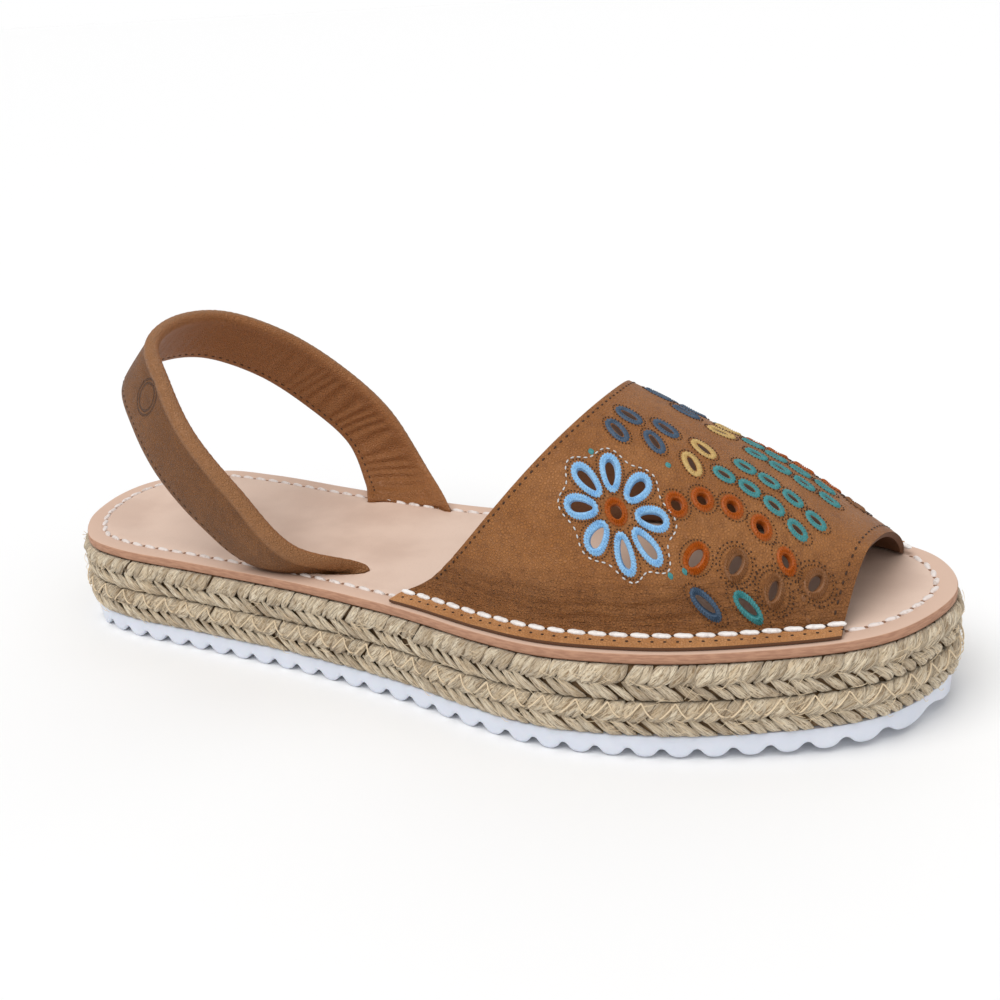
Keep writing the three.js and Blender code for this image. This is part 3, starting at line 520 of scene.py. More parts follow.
for name, node_name, bottom in (("braid_lower", "jute_braid_lower", BRAID_BOTTOM),
                                ("braid_upper", "jute_braid_upper", BRAID_BOTTOM + BRAID_RISE)):
    strand_points, strand_faces, strand_marks = braid_strands(bottom, STRAND_ROWS[name])
    core_points, core_faces = braid_core(bottom)
    faces = strand_faces + (core_faces + len(strand_points)).tolist()
    marks = {mark: np.concatenate([values, np.zeros(len(core_points))])
             for mark, values in strand_marks.items()}
    braid = build_piece(name, np.concatenate([strand_points, core_points]), faces, [jute, core],
                        [0] * len(strand_faces) + [1] * len(core_faces), marks, sharp=80)
    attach(braid, "root")
    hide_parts(node_name)


# Binding thread. One thin thread whips the two braids together all round. It shows as a row of low tents
# over the line where they meet, and both feet of each tent go in between the strands.
TENT_PITCH = 8.0
TENT_DROP = 3.5
TENT_LOOSE = 0.06
# one tent: share of the pitch along the sole plus mm, share of the drop plus mm up, and mm outward
TENT = [(-0.42, 0, -1, 0, -0.6), (-0.3948, 0, -0.95, 0, 0.0), (-0.21, 0, -0.55, 0, 0.1),
        (0.04, -0.4, 0, -0.25, -0.55), (0.04, 0, 0, 0.1, -0.9), (0.04, 0.4, 0, -0.25, -0.55),
        (0.22, 0, -0.55, 0, 0.1), (0.38, 0, -0.95, 0, 0.0), (0.40, 0, -1, 0, -0.6)]
THREAD_RADIUS = 0.2
THREAD_OUT = 1.95
BINDING = paint(222, 202, 170)


def tube(path, radius, sides=6):
    """Points and faces of a thin round thread along a run of points in mm."""
    along = unit(np.gradient(path, axis=0))
    across = unit(np.cross(along, (0, 0, 1.0)))
    upright = np.cross(across, along)
    angle = np.arange(sides) * 2 * math.pi / sides
    ring = across[:, None] * np.cos(angle)[None, :, None] + upright[:, None] * np.sin(angle)[None, :, None]
    return (path[:, None] + ring * radius).reshape(-1, 3), closed_faces(len(path), sides)


def joined(parts):
    """Many small meshes as one: points and faces."""
    points, faces, start = [], [], 0
    for more_points, more_faces in parts:
        points.append(more_points)
        faces.extend([[corner + start for corner in face] for face in more_faces])
        start += len(more_points)
    return np.concatenate(points), faces


tents = []
tent_count = round(RIM_LENGTH / TENT_PITCH)
seam_height = BRAID_BOTTOM + BRAID_HEIGHT
for k in range(tent_count):
    start = (k + chance.uniform(-TENT_LOOSE, TENT_LOOSE)) * RIM_LENGTH / tent_count
    run = smooth_curve([(share * TENT_PITCH + ahead, drop * TENT_DROP + up, out)
                        for share, ahead, drop, up, out in TENT], False, 25)
    xy = rim_place(start + run[:, 0], THREAD_OUT + run[:, 2])
    tents.append(tube(on_sole(xy, seam_height + run[:, 1]), THREAD_RADIUS))
binding_finish = two_tone("binding_thread_finish", BINDING, JUTE, (2.0,), Roughness=0.7, Sheen_Weight=0.2)
binding = build_piece("binding_thread", *joined(tents), [binding_finish], sharp=80)
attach(binding, "root")


# Stray fibres. Short loose ends of jute stand a little off the strands all round, as they do on any yarn
# spun from coarse fibre. They are the same fibre as the braids, and are held by nothing but the strands.
STRAY_FIBRES = 900
STRAY_RADIUS = 0.07
STRAY_FOOT = 1.4
# least and most of: place along the rim, height as a share of both braids, length, lean and mm outward
STRAY_RANGE = [(0, RIM_LENGTH), (0.08, 0.92), (1.8, 4.6), (-1.1, 1.1), (0.2, 0.9)]
strays = []
share = np.linspace(0, 1, 6)
for _ in range(STRAY_FIBRES):
    start, up, length, lean, off = chance.uniform(*zip(*STRAY_RANGE))
    xy = rim_place(start + length * math.cos(lean) * share, STRAY_FOOT + off * np.sin(2.6 * share))
    height = np.clip(up * 2 * BRAID_RISE + length * math.sin(lean) * share, 0.4, 2 * BRAID_RISE - 0.7)
    strays.append(tube(on_sole(xy, BRAID_BOTTOM + height), STRAY_RADIUS, 3))
fibres = build_piece("stray_fibres", *joined(strays), [binding_finish], sharp=80)
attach(fibres, "root")


# Insole. One board of pale pink-beige leather with a brown-pink cut edge, a slightly raised rim round the
# heel and two curved slits for the strap. It lies on the upper braid, and the white seam holds it there.
BOARD_THICKNESS = 2.84
BOARD_BOTTOM = BRAID_BOTTOM + 2 * BRAID_RISE
BOARD_TOP = BOARD_BOTTOM + BOARD_THICKNESS
HEEL_CUP = 1.0
CUP_START, CUP_WIDE = 8, 10
STRAP_WIDTH = 20.4
STRAP_AXIS_SIDE = 3.9
SLIT_FRONT = 111.8
SLIT_HALF_GAUGE = 23.4
SLIT_BOW = 5
SLIT_LENGTH = 1.45 * STRAP_WIDTH
SLIT_THICKNESS = 2.4
BOARD_STATIONS = 520
# the board's edge from its underside to its face: mm outward of the rim and mm up
RIM_SECTION = [(-0.7, 0.0), (-0.2, 0.1), (0, 0.45), (0.05, 1.3), (0, 2.35), (-0.18, 2.7), (-0.6, 2.84),
               (-1.8, 2.88), (-3.4, 2.88), (-4.3, 2.82), (-4.8, 2.62), (-5.2, 2.52), (-5.6, 2.62),
               (-6.1, 2.82), (-7.0, 2.88), (-8.0, 2.84)]
CUP_SECTION = [-10, -12, -14, -16, -18]
EDGE_POINTS = 5
BOARD = paint(220, 193, 175)
BOARD_RIM = paint(208, 175, 154)
BOARD_MARK = paint(192, 162, 144)
BOARD_EDGE = paint(186, 140, 112)
BOARD_EDGE_DARK = paint(146, 100, 76)
BOARD_EDGE_LIGHT = paint(212, 176, 150)


def smooth_share(value, low, high):
    """0 below low, 1 above high, and smooth between."""
    t = np.clip((value - low) / (high - low), 0, 1)
    return t * t * (3 - 2 * t)


def heel_cup(x):
    """Depth of the insole's hollow at the heel, at a place along the sole."""
    at = np.asarray(x) / SOLE_LENGTH + 0.5
    return HEEL_CUP * (1 - smooth_share(at, 0.2, 0.42))


def half_place(half, share, outward):
    """Point at a share of the way from heel to toe along one side of the moved outline."""
    run = rim_halves(outward)[half]
    reached = length_along(run)
    return at_distance(share * reached[-1], reached, run)


def board_grid():
    """Sections of the board from heel to toe. Returns points, faces, finish numbers and marks."""
    share = np.linspace(0, 1, BOARD_STATIONS)
    share = share - 0.10 * np.sin(2 * np.pi * share) / (2 * np.pi)
    section = RIM_SECTION + [(outward, BOARD_THICKNESS) for outward in CUP_SECTION]
    sides = []
    for half in (0, 1):
        columns = []
        for outward, up in section:
            xy = half_place(half, share, outward)
            sink = heel_cup(xy[:, 0]) * smooth_share(-outward - CUP_START, 0, CUP_WIDE)
            columns.append(np.column_stack([xy, BOARD_BOTTOM + up + toe_spring(xy[:, 0]) - sink]))
        sides.append(columns)
    outer, inner = sides
    across = [outer[-1] * (1 - t) + inner[-1] * t for t in np.linspace(0, 1, 14)[1:-1]]
    columns = outer + across + inner[::-1]
    points = np.stack(columns, 1)
    faces = grid_faces(BOARD_STATIONS, len(columns), around=True)
    column = np.tile(np.arange(len(columns)), BOARD_STATIONS - 1)
    from_rim = np.minimum(column, len(columns) - 2 - column)
    edge = (from_rim < EDGE_POINTS) | (column == len(columns) - 1)
    heights = points[..., 2] - BOARD_BOTTOM - toe_spring(points[..., 0])
    insets = [max(0.0, -outward) for outward, _ in section]
    insets += [-CUP_SECTION[-1] + 4.0] * len(across) + insets[::-1]
    marks = {"height": heights / BOARD_THICKNESS, "inset": np.tile(insets, (BOARD_STATIONS, 1))}
    return points, faces, edge.astype(int), marks


def cut_away(piece, points, faces, finish_number=0):
    """Cuts closed shapes out of a piece for good; the new walls take one of the piece's finishes."""
    cutter = build_piece("cutter", points, faces, list(piece.data.materials),
                         [finish_number] * len(faces), merge=True)
    change = piece.modifiers.new("cut", "BOOLEAN")
    change.object = cutter
    change.solver = "MANIFOLD"
    bpy.context.view_layer.update()
    cut = bpy.data.meshes.new_from_object(piece.evaluated_get(bpy.context.evaluated_depsgraph_get()))
    piece.modifiers.remove(change)
    piece.data = cut
    bpy.data.objects.remove(cutter)
    piece.data.polygons.foreach_set("use_smooth", np.ones(len(piece.data.polygons), dtype=bool))
    piece.data.set_sharp_from_angle(angle=math.radians(38))


def slit_middle(share, side):
    """Middle line of a slit, front end first."""
    x = SLIT_FRONT - share * SLIT_LENGTH - SOLE_LENGTH / 2
    return np.stack([x, STRAP_AXIS_SIDE + side * (SLIT_HALF_GAUGE + SLIT_BOW * 4 * share * (1 - share))], -1)


def slit_cutter(side):
    """Upright block of a slit's shape, round at both ends."""
    share = np.linspace(0, 1, 24)
    middle = slit_middle(share, side)
    along = unit(np.gradient(middle, axis=0))
    across = np.stack([-along[:, 1], along[:, 0]], -1)
    half = (SLIT_THICKNESS / 2 + SEAM) * np.sqrt(np.clip(1 - (2 * share - 1) ** 16, 0, 1))[:, None]
    loop = np.vstack([middle + across * half, (middle - across * half)[::-1][1:-1]])
    low, high = BOARD_BOTTOM - 2, BOARD_TOP + 2
    points = np.vstack([np.column_stack([loop, np.full(len(loop), z)]) for z in (low, high)])
    return points, closed_faces(2, len(loop))


def board_finish():
    """Cloudy leather, darker and pinker in a band along the rim."""
    made = new_finish("insole_leather_finish", BOARD, Roughness=0.55, Specular_IOR_Level=0.35)
    cloud = speckle(made, 22.0, 3.0)
    fine = speckle(made, 0.55, 4.0, rough=0.6)
    body = blend_of(made, steps_of(made, cloud, 0.35, 0.7, 0.5), BOARD, BOARD_MARK)
    body = blend_of(made, steps_of(made, fine, 0.55, 0.75, 0.25), body, BOARD_MARK)
    body = blend_of(made, steps_of(made, mark_of(made, "inset"), 5.4, 4.4, 0.8), body, BOARD_RIM)
    shade_with(made, "Base Color", body)
    under = raise_by(made, speckle(made, 6.0, 3.0), 0.12)
    raise_by(made, fine, 0.05, under)
    return made


def board_edge_finish():
    """The board's cut edge: streaky, dark below and pale at its upper corner."""
    made = new_finish("insole_cut_edge", BOARD_EDGE, Roughness=0.7)
    streak = speckle(made, 1.0, 3.0, (0.35, 0.35, 2.2))
    body = blend_of(made, steps_of(made, streak, 0.35, 0.65), BOARD_EDGE, BOARD_EDGE_DARK)
    body = blend_of(made, 0.5, body, BOARD_EDGE)
    height = mark_of(made, "height")
    body = blend_of(made, steps_of(made, height, 0.86, 0.97), body, BOARD_EDGE_LIGHT)
    body = blend_of(made, steps_of(made, height, 0.2, 0.02, 0.8), body, BOARD_EDGE_DARK)
    shade_with(made, "Base Color", body)
    raise_by(made, streak, 0.15)
    return made


board_points, board_faces, board_edge_faces, board_marks = board_grid()
board = build_piece("insole_board", board_points, board_faces, [board_finish(), board_edge_finish()],
                    board_edge_faces, board_marks, merge=True)
cut_away(board, *joined([slit_cutter(-1), slit_cutter(1)]), finish_number=1)
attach(board, "root")
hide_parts("insole")


# Vamp. One piece of tan leather moulded over a last, open at toe and instep. Its sides turn out into a
# flange that lies on the insole board, and the row of white stitches goes through both.
WALL = 1.6
FLANGE_WIDTH = 5.4
FLANGE_EDGE_INSET = 0.9
WALL_FOOT_INSET = FLANGE_EDGE_INSET + FLANGE_WIDTH
INSTEP_HEIGHT = 49.2
TOE_OPENING_HEIGHT = 12.8
VAMP_FRONT_OUTER = SOLE_LENGTH - 20.9
VAMP_FRONT_INNER = SOLE_LENGTH - 16.8
VAMP_FRONT_BOW = 0.4
FLANGE_END_SLANT = 1
VAMP_REAR_FOOT = VAMP_FRONT_OUTER - 110.6
VAMP_REAR_TOP = VAMP_FRONT_OUTER - 62.8
REAR_EDGE_SWEEP = 0.6
FOOT_FLARE = 2.5
FLANGE_TIP = 2.4
FLANGE_DROOP = 0.7
FLANGE_EDGE = 0.9
# sections over the foot at shares of the sole's length: height of the crest, its side as a share of the
# ball's width, and how full the two sides are, where 2 is a plain ellipse
VAMP_SECTIONS = {
    "at": [0.49, 0.592, 0.692, 0.765, 0.842, 0.9, 0.944],
    "crest": [1.42 * INSTEP_HEIGHT, 1.22 * INSTEP_HEIGHT, INSTEP_HEIGHT, 0.812 * INSTEP_HEIGHT,
              0.61 * INSTEP_HEIGHT, 0.4 * INSTEP_HEIGHT, TOE_OPENING_HEIGHT],
    "ridge": [0.03, 0.03, 0.028, 0.024, 0.02, 0.022, 0.02],
    "full_outer": [2.1, 2.2, 2.25, 2.25, 2.1, 1.7, 1.36],
    "full_inner": [2.1, 2.1, 2.1, 2.1, 2.1, 1.9, 1.65],
}
ARCH_ROWS = 150
FLANGE_ROWS = 8
VAMP_COLUMNS = 150
TAN = paint(150, 95, 46)
TAN_LIGHT = paint(172, 116, 66)
TAN_DARK = paint(98, 58, 28)
LIT_FLANGE_TAN = paint(182, 126, 78)
# the flange is the vamp's own leather, painted lighter for the light falling on its upturned face
LIT_FLANGE_CLOUD = paint(196, 140, 90)
CUT_EDGE = paint(92, 60, 38)
LINING = paint(112, 76, 50)


def between(name, at):
    """Reads one value of the vamp's sections at shares of the sole's length, as a smooth curve."""
    places, values = np.array(VAMP_SECTIONS["at"]), np.array(VAMP_SECTIONS[name])
    order = np.arange(len(places))
    before, after = np.maximum(order - 1, 0), np.minimum(order + 1, len(places) - 1)
    slope = (values[after] - values[before]) / (places[after] - places[before])
    i = np.clip(np.searchsorted(places, at, side="right") - 1, 0, len(places) - 2)
    span = places[i + 1] - places[i]
    t = np.clip((at - places[i]) / span, 0, 1)
    start = values[i] * (1 + 2 * t) + slope[i] * span * t
    end = values[i + 1] * (3 - 2 * t) - slope[i + 1] * span * (1 - t)
    return start * (1 - t) ** 2 + end * t ** 2


WALL_FEET = rim_halves(-WALL_FOOT_INSET)


def vamp_place(x, turn):
    """Points of the vamp's outer face; turn is 0 at the outer foot and pi at the inner foot."""
    x, turn = np.broadcast_arrays(np.asarray(x, float), np.asarray(turn, float))
    at = x / SOLE_LENGTH + 0.5
    feet = [np.interp(x, np.maximum.accumulate(half[:, 0]), half[:, 1]) for half in WALL_FEET]
    ridge = between("ridge", at) * BALL_WIDTH
    outer = turn < math.pi / 2
    full = np.where(outer, between("full_outer", at), between("full_inner", at))
    reach = np.abs(np.cos(turn)) ** np.minimum(2 / full, 1)
    climb = np.maximum(np.sin(turn), 0) ** np.where(full < 2, (2 / full) ** FOOT_FLARE, 2 / full)
    y = ridge + (np.where(outer, feet[0], feet[1]) - ridge) * reach
    z = BOARD_TOP + SEAM + WALL + (between("crest", at) - SEAM - WALL) * climb + toe_spring(x)
    return np.stack([x, y, z], -1)


def vamp_span(turn):
    """Rear and front ends of the vamp along one line over the arch."""
    up = np.maximum(np.sin(turn), 0)
    rear = VAMP_REAR_FOOT + (VAMP_REAR_TOP - VAMP_REAR_FOOT) * up ** REAR_EDGE_SWEEP
    front = VAMP_FRONT_OUTER + (VAMP_FRONT_INNER - VAMP_FRONT_OUTER) * (1 - np.cos(turn)) / 2
    return rear - SOLE_LENGTH / 2, front + VAMP_FRONT_BOW * up ** 0.5 - SOLE_LENGTH / 2


def down_the_side(x, side, steps=140):
    """Turns from the crest to one foot, and the distance down the side at each, at every x."""
    turns = math.pi / 2 + side * np.linspace(0, math.pi / 2, steps)
    line = vamp_place(np.asarray(x, float)[:, None], turns[None, :])
    length = np.linalg.norm(np.diff(line, axis=1), axis=2)
    return turns, np.concatenate([np.zeros((len(line), 1)), np.cumsum(length, axis=1)], axis=1)


def on_vamp(ahead, round_, side):
    """Points of the outer face from mm ahead of the rear edge's top and mm down a side, with normals."""
    ahead, round_ = (np.asarray(v, float).ravel() for v in np.broadcast_arrays(ahead, round_))
    x = VAMP_REAR_TOP + ahead - SOLE_LENGTH / 2
    turns, reached = down_the_side(x, side)
    turn = np.array([np.interp(r, row, turns) for r, row in zip(round_, reached)])
    here = vamp_place(x, turn)
    forward = vamp_place(x + 0.3, turn) - here
    downward = vamp_place(x, turn + side * 0.006) - here
    return here, unit(np.cross(forward, downward) * side)


# main creases of the vamp, low down on both sides where the foot bends it, and weaker on the inner side:
# mm ahead of the rear edge's top, mm over the flange, length, slope and depth
CREASES = [
    (-22, 5.5, 46, -0.02, 0.35), (-12, 9.0, 52, 0.01, 0.30), (4, 3.6, 50, 0.0, 0.35),
    (14, 7.0, 56, 0.03, 0.40), (22, 11.0, 44, 0.02, 0.28), (30, 4.5, 40, 0.02, 0.32),
    (-30, 12.5, 30, -0.05, 0.22), (2, 13.5, 40, 0.02, 0.22), (36, 8.6, 30, 0.04, 0.22),
    (-4, 6.2, 30, -0.03, 0.25), (44, 6.0, 22, 0.05, 0.2), (-36, 8.0, 24, 0.0, 0.25),
]
INNER_CREASES = 0.7
CREASE_HALF_WIDTH = 0.75
# the leather bulges beside each crease: share of its depth, mm over it and half width
CREASE_BULGE = (0.35, 1.5, 0.8)
FOOT_ROUNDINGS = 9


def vamp_shell():
    """Outer and inner face of the vamp. Returns points, faces, finish numbers and marks."""
    share = np.linspace(0, 1, ARCH_ROWS)
    turn = math.pi * (share - 0.45 * np.sin(2 * np.pi * share) / (2 * np.pi))
    along = np.linspace(0, 1, VAMP_COLUMNS)
    rear, front = vamp_span(turn)
    arch = vamp_place(rear[:, None] + (front - rear)[:, None] * along[None, :], turn[:, None])
    flanges = []
    for side_turn, half in ((0.0, 0), (math.pi, 1)):
        rear, front = vamp_span(side_turn)
        rows = []
        for out in np.linspace(1, 0, FLANGE_ROWS, endpoint=False):
            x = rear + (front - rear) * along + FLANGE_END_SLANT * math.cos(side_turn) * out
            x = x - FLANGE_TIP * out ** 1.5 * (1 - along) ** 8
            y = sides_at(-WALL_FOOT_INSET + FLANGE_WIDTH * out, x)[half]
            rows.append(np.column_stack([x, y, BOARD_TOP + SEAM + WALL - FLANGE_DROOP * out ** 2
                                         + toe_spring(x)]))
        flanges.append(np.array(rows))
    outer = np.concatenate([flanges[0], arch, flanges[1][::-1]])
    for first in (FLANGE_ROWS - 4, len(outer) - FLANGE_ROWS - 6):
        last = first + 10
        for _ in range(FOOT_ROUNDINGS):
            beside = outer[first - 1:last - 1] + outer[first + 1:last + 1]
            outer[first:last] = 0.5 * outer[first:last] + 0.25 * beside
    normal = unit(np.cross(np.gradient(outer, axis=1), np.gradient(outer, axis=0)))
    ahead = outer[..., 0] + SOLE_LENGTH / 2 - VAMP_REAR_TOP
    over_flange = outer[..., 2] - (BOARD_TOP + SEAM + WALL) - toe_spring(outer[..., 0])
    on_outer = outer[..., 1] < 0
    fold = np.zeros(ahead.shape)
    for place, up, length, slope, depth in CREASES:
        for outside in (True, False):
            lie = up + slope * (ahead - place) + 0.5 * np.sin((ahead + place) * 0.35 + up)
            fade = np.clip(1 - ((ahead - place) / (length / 2)) ** 2, 0, 1)
            share = (on_outer == outside) * fade * (1.0 if outside else INNER_CREASES)
            fold -= depth * share * np.exp(-((over_flange - lie) / CREASE_HALF_WIDTH) ** 2)
            bulge, over, half = CREASE_BULGE
            fold += bulge * depth * share * np.exp(-((over_flange - lie - over) / half) ** 2)
    face = outer + normal * fold[..., None]
    rows, columns = face.shape[:2]
    order = np.arange(rows)
    out = np.clip(1 - np.minimum(order, rows - 1 - order) / FLANGE_ROWS, 0, 1)
    thick = WALL - (WALL - FLANGE_EDGE) * out ** 2
    lining = outer - normal * thick[:, None, None]
    inside = rows * columns
    grid = grid_faces(rows, columns)
    faces = np.concatenate([grid[:, ::-1], grid + inside])
    numbers = np.arange(rows * columns).reshape(rows, columns)
    border = np.concatenate([numbers[0, :-1], numbers[:-1, -1], numbers[-1, :0:-1], numbers[:0:-1, 0]])
    after = np.roll(border, -1)
    walls = np.stack([border, after, after + inside, border + inside], -1)
    row_of_face = np.repeat(np.arange(rows - 1), columns - 1)
    flange = (row_of_face < FLANGE_ROWS - 1) | (row_of_face > rows - FLANGE_ROWS - 1)
    finish_of_face = np.concatenate([np.where(flange, 3, 0), np.full(len(grid), 1), np.full(len(walls), 2)])
    points = np.concatenate([face.reshape(-1, 3), lining.reshape(-1, 3)])
    return points, np.concatenate([faces, walls]), finish_of_face, {"low": np.tile(over_flange.ravel(), 2)}


def math_of(finish, operation, first, second=0.0):
    """Output of a node that works out one value from one or two."""
    return put_node(finish, "Math", {0: first, 1: second}, operation=operation).outputs[0]


def leather_finish(name, colour, light, dark, low_zone=False, cloudy=1.0):
    """Waxed leather with clouds and a fine grain; low_zone darkens it near the flange with painted shade,
    evenly and in fine streaks for the shade in its small wrinkles, and raises the streaks as relief.
    """
    made = new_finish(name, colour, Roughness=0.46, Specular_IOR_Level=0.3)
    cloud = speckle(made, 11.0, 3.0, rough=0.6)
    mottle = speckle(made, 2.2, 4.0, rough=0.6)
    pebble_place = put_node(made, "TexCoord").outputs["Object"]
    pebble = put_node(made, "TexVoronoi", {"Vector": pebble_place, "Scale": 1 / (0.75 * MM)},
                      feature="DISTANCE_TO_EDGE").outputs["Distance"]
    grain = steps_of(made, pebble, 0.0, 0.3)
    body = blend_of(made, steps_of(made, cloud, 0.35, 0.68, cloudy), colour, light)
    body = blend_of(made, steps_of(made, mottle, 0.55, 0.3, 0.3), body, dark)
    body = blend_of(made, steps_of(made, grain, 0.6, 0.0, 0.28), body, dark)
    if low_zone:
        streak = speckle(made, 1.0, 4.0, (0.17, 0.17, 1.25), rough=0.65)
        low = steps_of(made, mark_of(made, "low"), 18.0, 7.0)
        wrinkle_shade = steps_of(made, streak, 0.58, 0.4, 0.24)
        # painted shade near the flange: fine streaks for the shaded wrinkles, and an even darkening of the
        # lower side
        for share in (wrinkle_shade, 0.1):
            body = blend_of(made, math_of(made, "MULTIPLY", low, share), body, dark)
        under = raise_by(made, math_of(made, "MULTIPLY", low, streak), 1.3)
    under = raise_by(made, mottle, 0.2, under if low_zone else None)
    shade_with(made, "Base Color", body)
    raise_by(made, grain, 0.18, under)
    gloss = put_node(made, "MapRange", {"Value": mottle, "To Min": 0.4, "To Max": 0.56}).outputs[0]
    shade_with(made, "Roughness", gloss)
    return made


vamp_finishes = [
    leather_finish("vamp_leather_finish", TAN, TAN_LIGHT, TAN_DARK, low_zone=True, cloudy=0.5),
    *(two_tone(name, colour, TAN_DARK, (0.8, 3.0), relief=(0.4, 3.0, 0.1), Roughness=0.8)
      for name, colour in (("vamp_lining", LINING), ("leather_cut_edge", CUT_EDGE))),
    # the flange's lighter copy of the vamp's leather is painted light
    leather_finish("vamp_flange_leather_painted_light", LIT_FLANGE_TAN, LIT_FLANGE_CLOUD, TAN),
]

vamp_points, vamp_faces, vamp_finish_numbers, vamp_marks = vamp_shell()
vamp = build_piece("vamp_shell", vamp_points, vamp_faces, vamp_finishes, vamp_finish_numbers, vamp_marks)


# Cutwork. Holes punched through both sides of the vamp, each bound with satin stitch in coloured thread:
# a flower over the foot's side, an arc of round eyelets and a few leaves. Small leaves and dots between
# them are stitched without a hole; inside each small leaf a dark pad of painted shade stands where a hole
# would show. Places are mm ahead of the rear edge's top and mm down the side.
FLOWER = {"ahead": 12, "round": 37.5, "petals": 8, "petal_centre": 8.8, "long": 6.4, "wide": 2.6,
          "heart": 3.2}
PETAL_DROP = 0.28
HALO_RADIUS = 13.6
HALO_WAVE = 1.0
EYELET_WIDE = 3
LEAF_LONG = 6
LEAF_WIDE = 2.4
ROUND_EYELETS = [(24.5, 27.5), (29.5, 22.4), (36, 19.6), (43, 19.6), (49.5, 22.4)]
LEAVES = [(31, 36.5, -62, "rust"), (39.5, 32, -66, "brown"), (48, 31, -72, "brown"),
          (56, 21.5, -60, "brown"), (34, 45.5, 12, "slate"), (43, 39.3, 6, "teal")]
PLUG_LEVELS = (-WALL - 1.4, 1.6)
OUTLINED_LEAVES = slice(1, 4)
OUTLINE_OUT = 2.75
# small stitched leaves: place, turn, length, width and thread
SPRIGS = [(6.5, 17.5, 25, 4.8, 1.8, "slate"), (7, 10.5, 5, 4.8, 1.8, "slate"),
          (15, 14.5, 35, 4.8, 1.8, "slate"), (15.5, 7.5, 10, 4.8, 1.8, "slate"),
          (24.5, 14.5, 45, 4.8, 1.8, "gold"), (25, 7, 20, 4.8, 1.8, "gold")]
SPRIGS += [(ahead, round_, 5, 3.4, 1.5, "teal") for ahead, round_ in (
    (31.8, 12), (37.9, 11.5), (44, 11.8), (50, 13.2), (34.8, 4.8), (40.8, 4.8), (46.8, 5.2), (52.8, 6.6))]
DOTS = [(26, 44, "teal"), (29, 41, "teal"), (54, 27, "brown"), (55.5, 31, "brown"), (53, 36, "brown"),
        (3, 27, "teal"), (20, 19, "teal")]
DOT_WIDE = 1.7
# rows of small stitches: length, gap, width and height
NEEDLE_HOLE = (0.42, 0.42, 0.36, 0.3)
HALO_STITCH = (1.1, 0.6, 0.42, 0.4)
OUTLINE_STITCH = (0.55, 0.75, 0.45, 0.3)
# a satin border from the hole outward: share of its width, and height
SATIN_SECTION = [(-0.02, -1.5), (-0.02, -0.1), (0.06, 0.45), (0.2, 0.8), (0.4, 1.0), (0.6, 0.98),
                 (0.8, 0.72), (0.95, 0.3), (1.02, -0.25)]
# the dark thread also draws painted shade: the needle holes round the satin and the pads inside the small
# leaves
THREADS = {
    "blue": paint(150, 200, 240), "rust": paint(172, 84, 16), "brown": paint(140, 94, 58),
    "slate": paint(72, 92, 114), "teal": paint(72, 144, 146), "gold": paint(206, 172, 108),
    "white": paint(214, 214, 214), "dark": paint(66, 38, 18),
}


thread_finishes = {
    name: two_tone("thread_" + name, colour, tuple(v * 0.55 for v in colour[:3]) + (1.0,), (0.45, 2.0),
                   (0.35, 0.6, 0.5), (0.25, 2.0, 0.06), Roughness=0.42, Specular_IOR_Level=0.3)
    for name, colour in THREADS.items()}


def hole_outline(long, wide, drop, count):
    """Outline of a hole in its own plane: an ellipse, pinched toward its start where drop is over 0."""
    angle = np.arange(count) * 2 * math.pi / count
    return np.stack([long / 2 * np.cos(angle), wide / 2 * np.sin(angle) * (1 + drop * np.cos(angle))], -1)


def turned(local, turn):
    """Points of a flat motif, along it and across it, turned by some degrees."""
    level, upright = math.cos(math.radians(turn)), math.sin(math.radians(turn))
    along, across = local.T
    return np.stack([along * level - across * upright, along * upright + across * level], -1)


def laid_on_vamp(centre, side, turn, local, lift=0.0):
    """Places points of a flat motif on the vamp. local is along and across the motif in mm."""
    u, v = turned(local, turn).T
    middle, _ = on_vamp([centre[0], centre[0] + 0.5], [centre[1], centre[1]], side)
    climb = 0.5 / max(np.linalg.norm(middle[1] - middle[0]), 0.5)
    place, normal = on_vamp(centre[0] + u * climb, centre[1] + v, side)
    return place + normal * np.broadcast_to(lift, (len(place),))[:, None]


def satin_ring(centre, side, turn, long, wide, drop=0.0, band=1.6, height=0.62, pitch=0.6):
    """A raised band of satin stitch round a hole, its threads lying square to the hole's edge."""
    around = math.pi * (long + wide + 2 * band) / 2
    count = max(24, 2 * round(around / pitch))
    hole = hole_outline(long, wide, drop, count)
    along = unit(np.roll(hole, -1, axis=0) - np.roll(hole, 1, axis=0))
    away = square_to(along)
    odd = np.arange(count) % 2
    rows = []
    for out, up in SATIN_SECTION:
        reach = band * out * np.where(odd, 1.0 if out < 0.9 else 1.1, 0.92)
        lift = height * up * np.where(odd, 1.0, 0.4) if up > 0 else np.full(count, up)
        rows.append(laid_on_vamp(centre, side, turn, hole + away * reach[:, None], lift))
    return np.concatenate(rows), grid_faces(len(SATIN_SECTION), count, around=True).tolist()


def satin_pad(centre, side, turn, long, wide, height=0.55, pitch=0.5):
    """A filled leaf or dot of satin stitch, domed, with its threads lying across it."""
    count = max(10, 2 * round(long / pitch))
    share = np.linspace(-0.999, 0.999, count)
    half = wide / 2 * np.sqrt(1 - share ** 2) ** 0.85
    odd = np.arange(count) % 2
    rows = []
    for k in np.linspace(-1, 1, 9):
        across = k * half * np.where(odd, 1.06, 0.97)
        lift = height * np.sqrt(max(1 - k * k, 0)) * (1 - share ** 6) * np.where(odd, 1.0, 0.7) - 0.15
        rows.append(laid_on_vamp(centre, side, turn, np.stack([share * long / 2, across], -1), lift))
    return np.concatenate(rows), grid_faces(9, count).tolist()


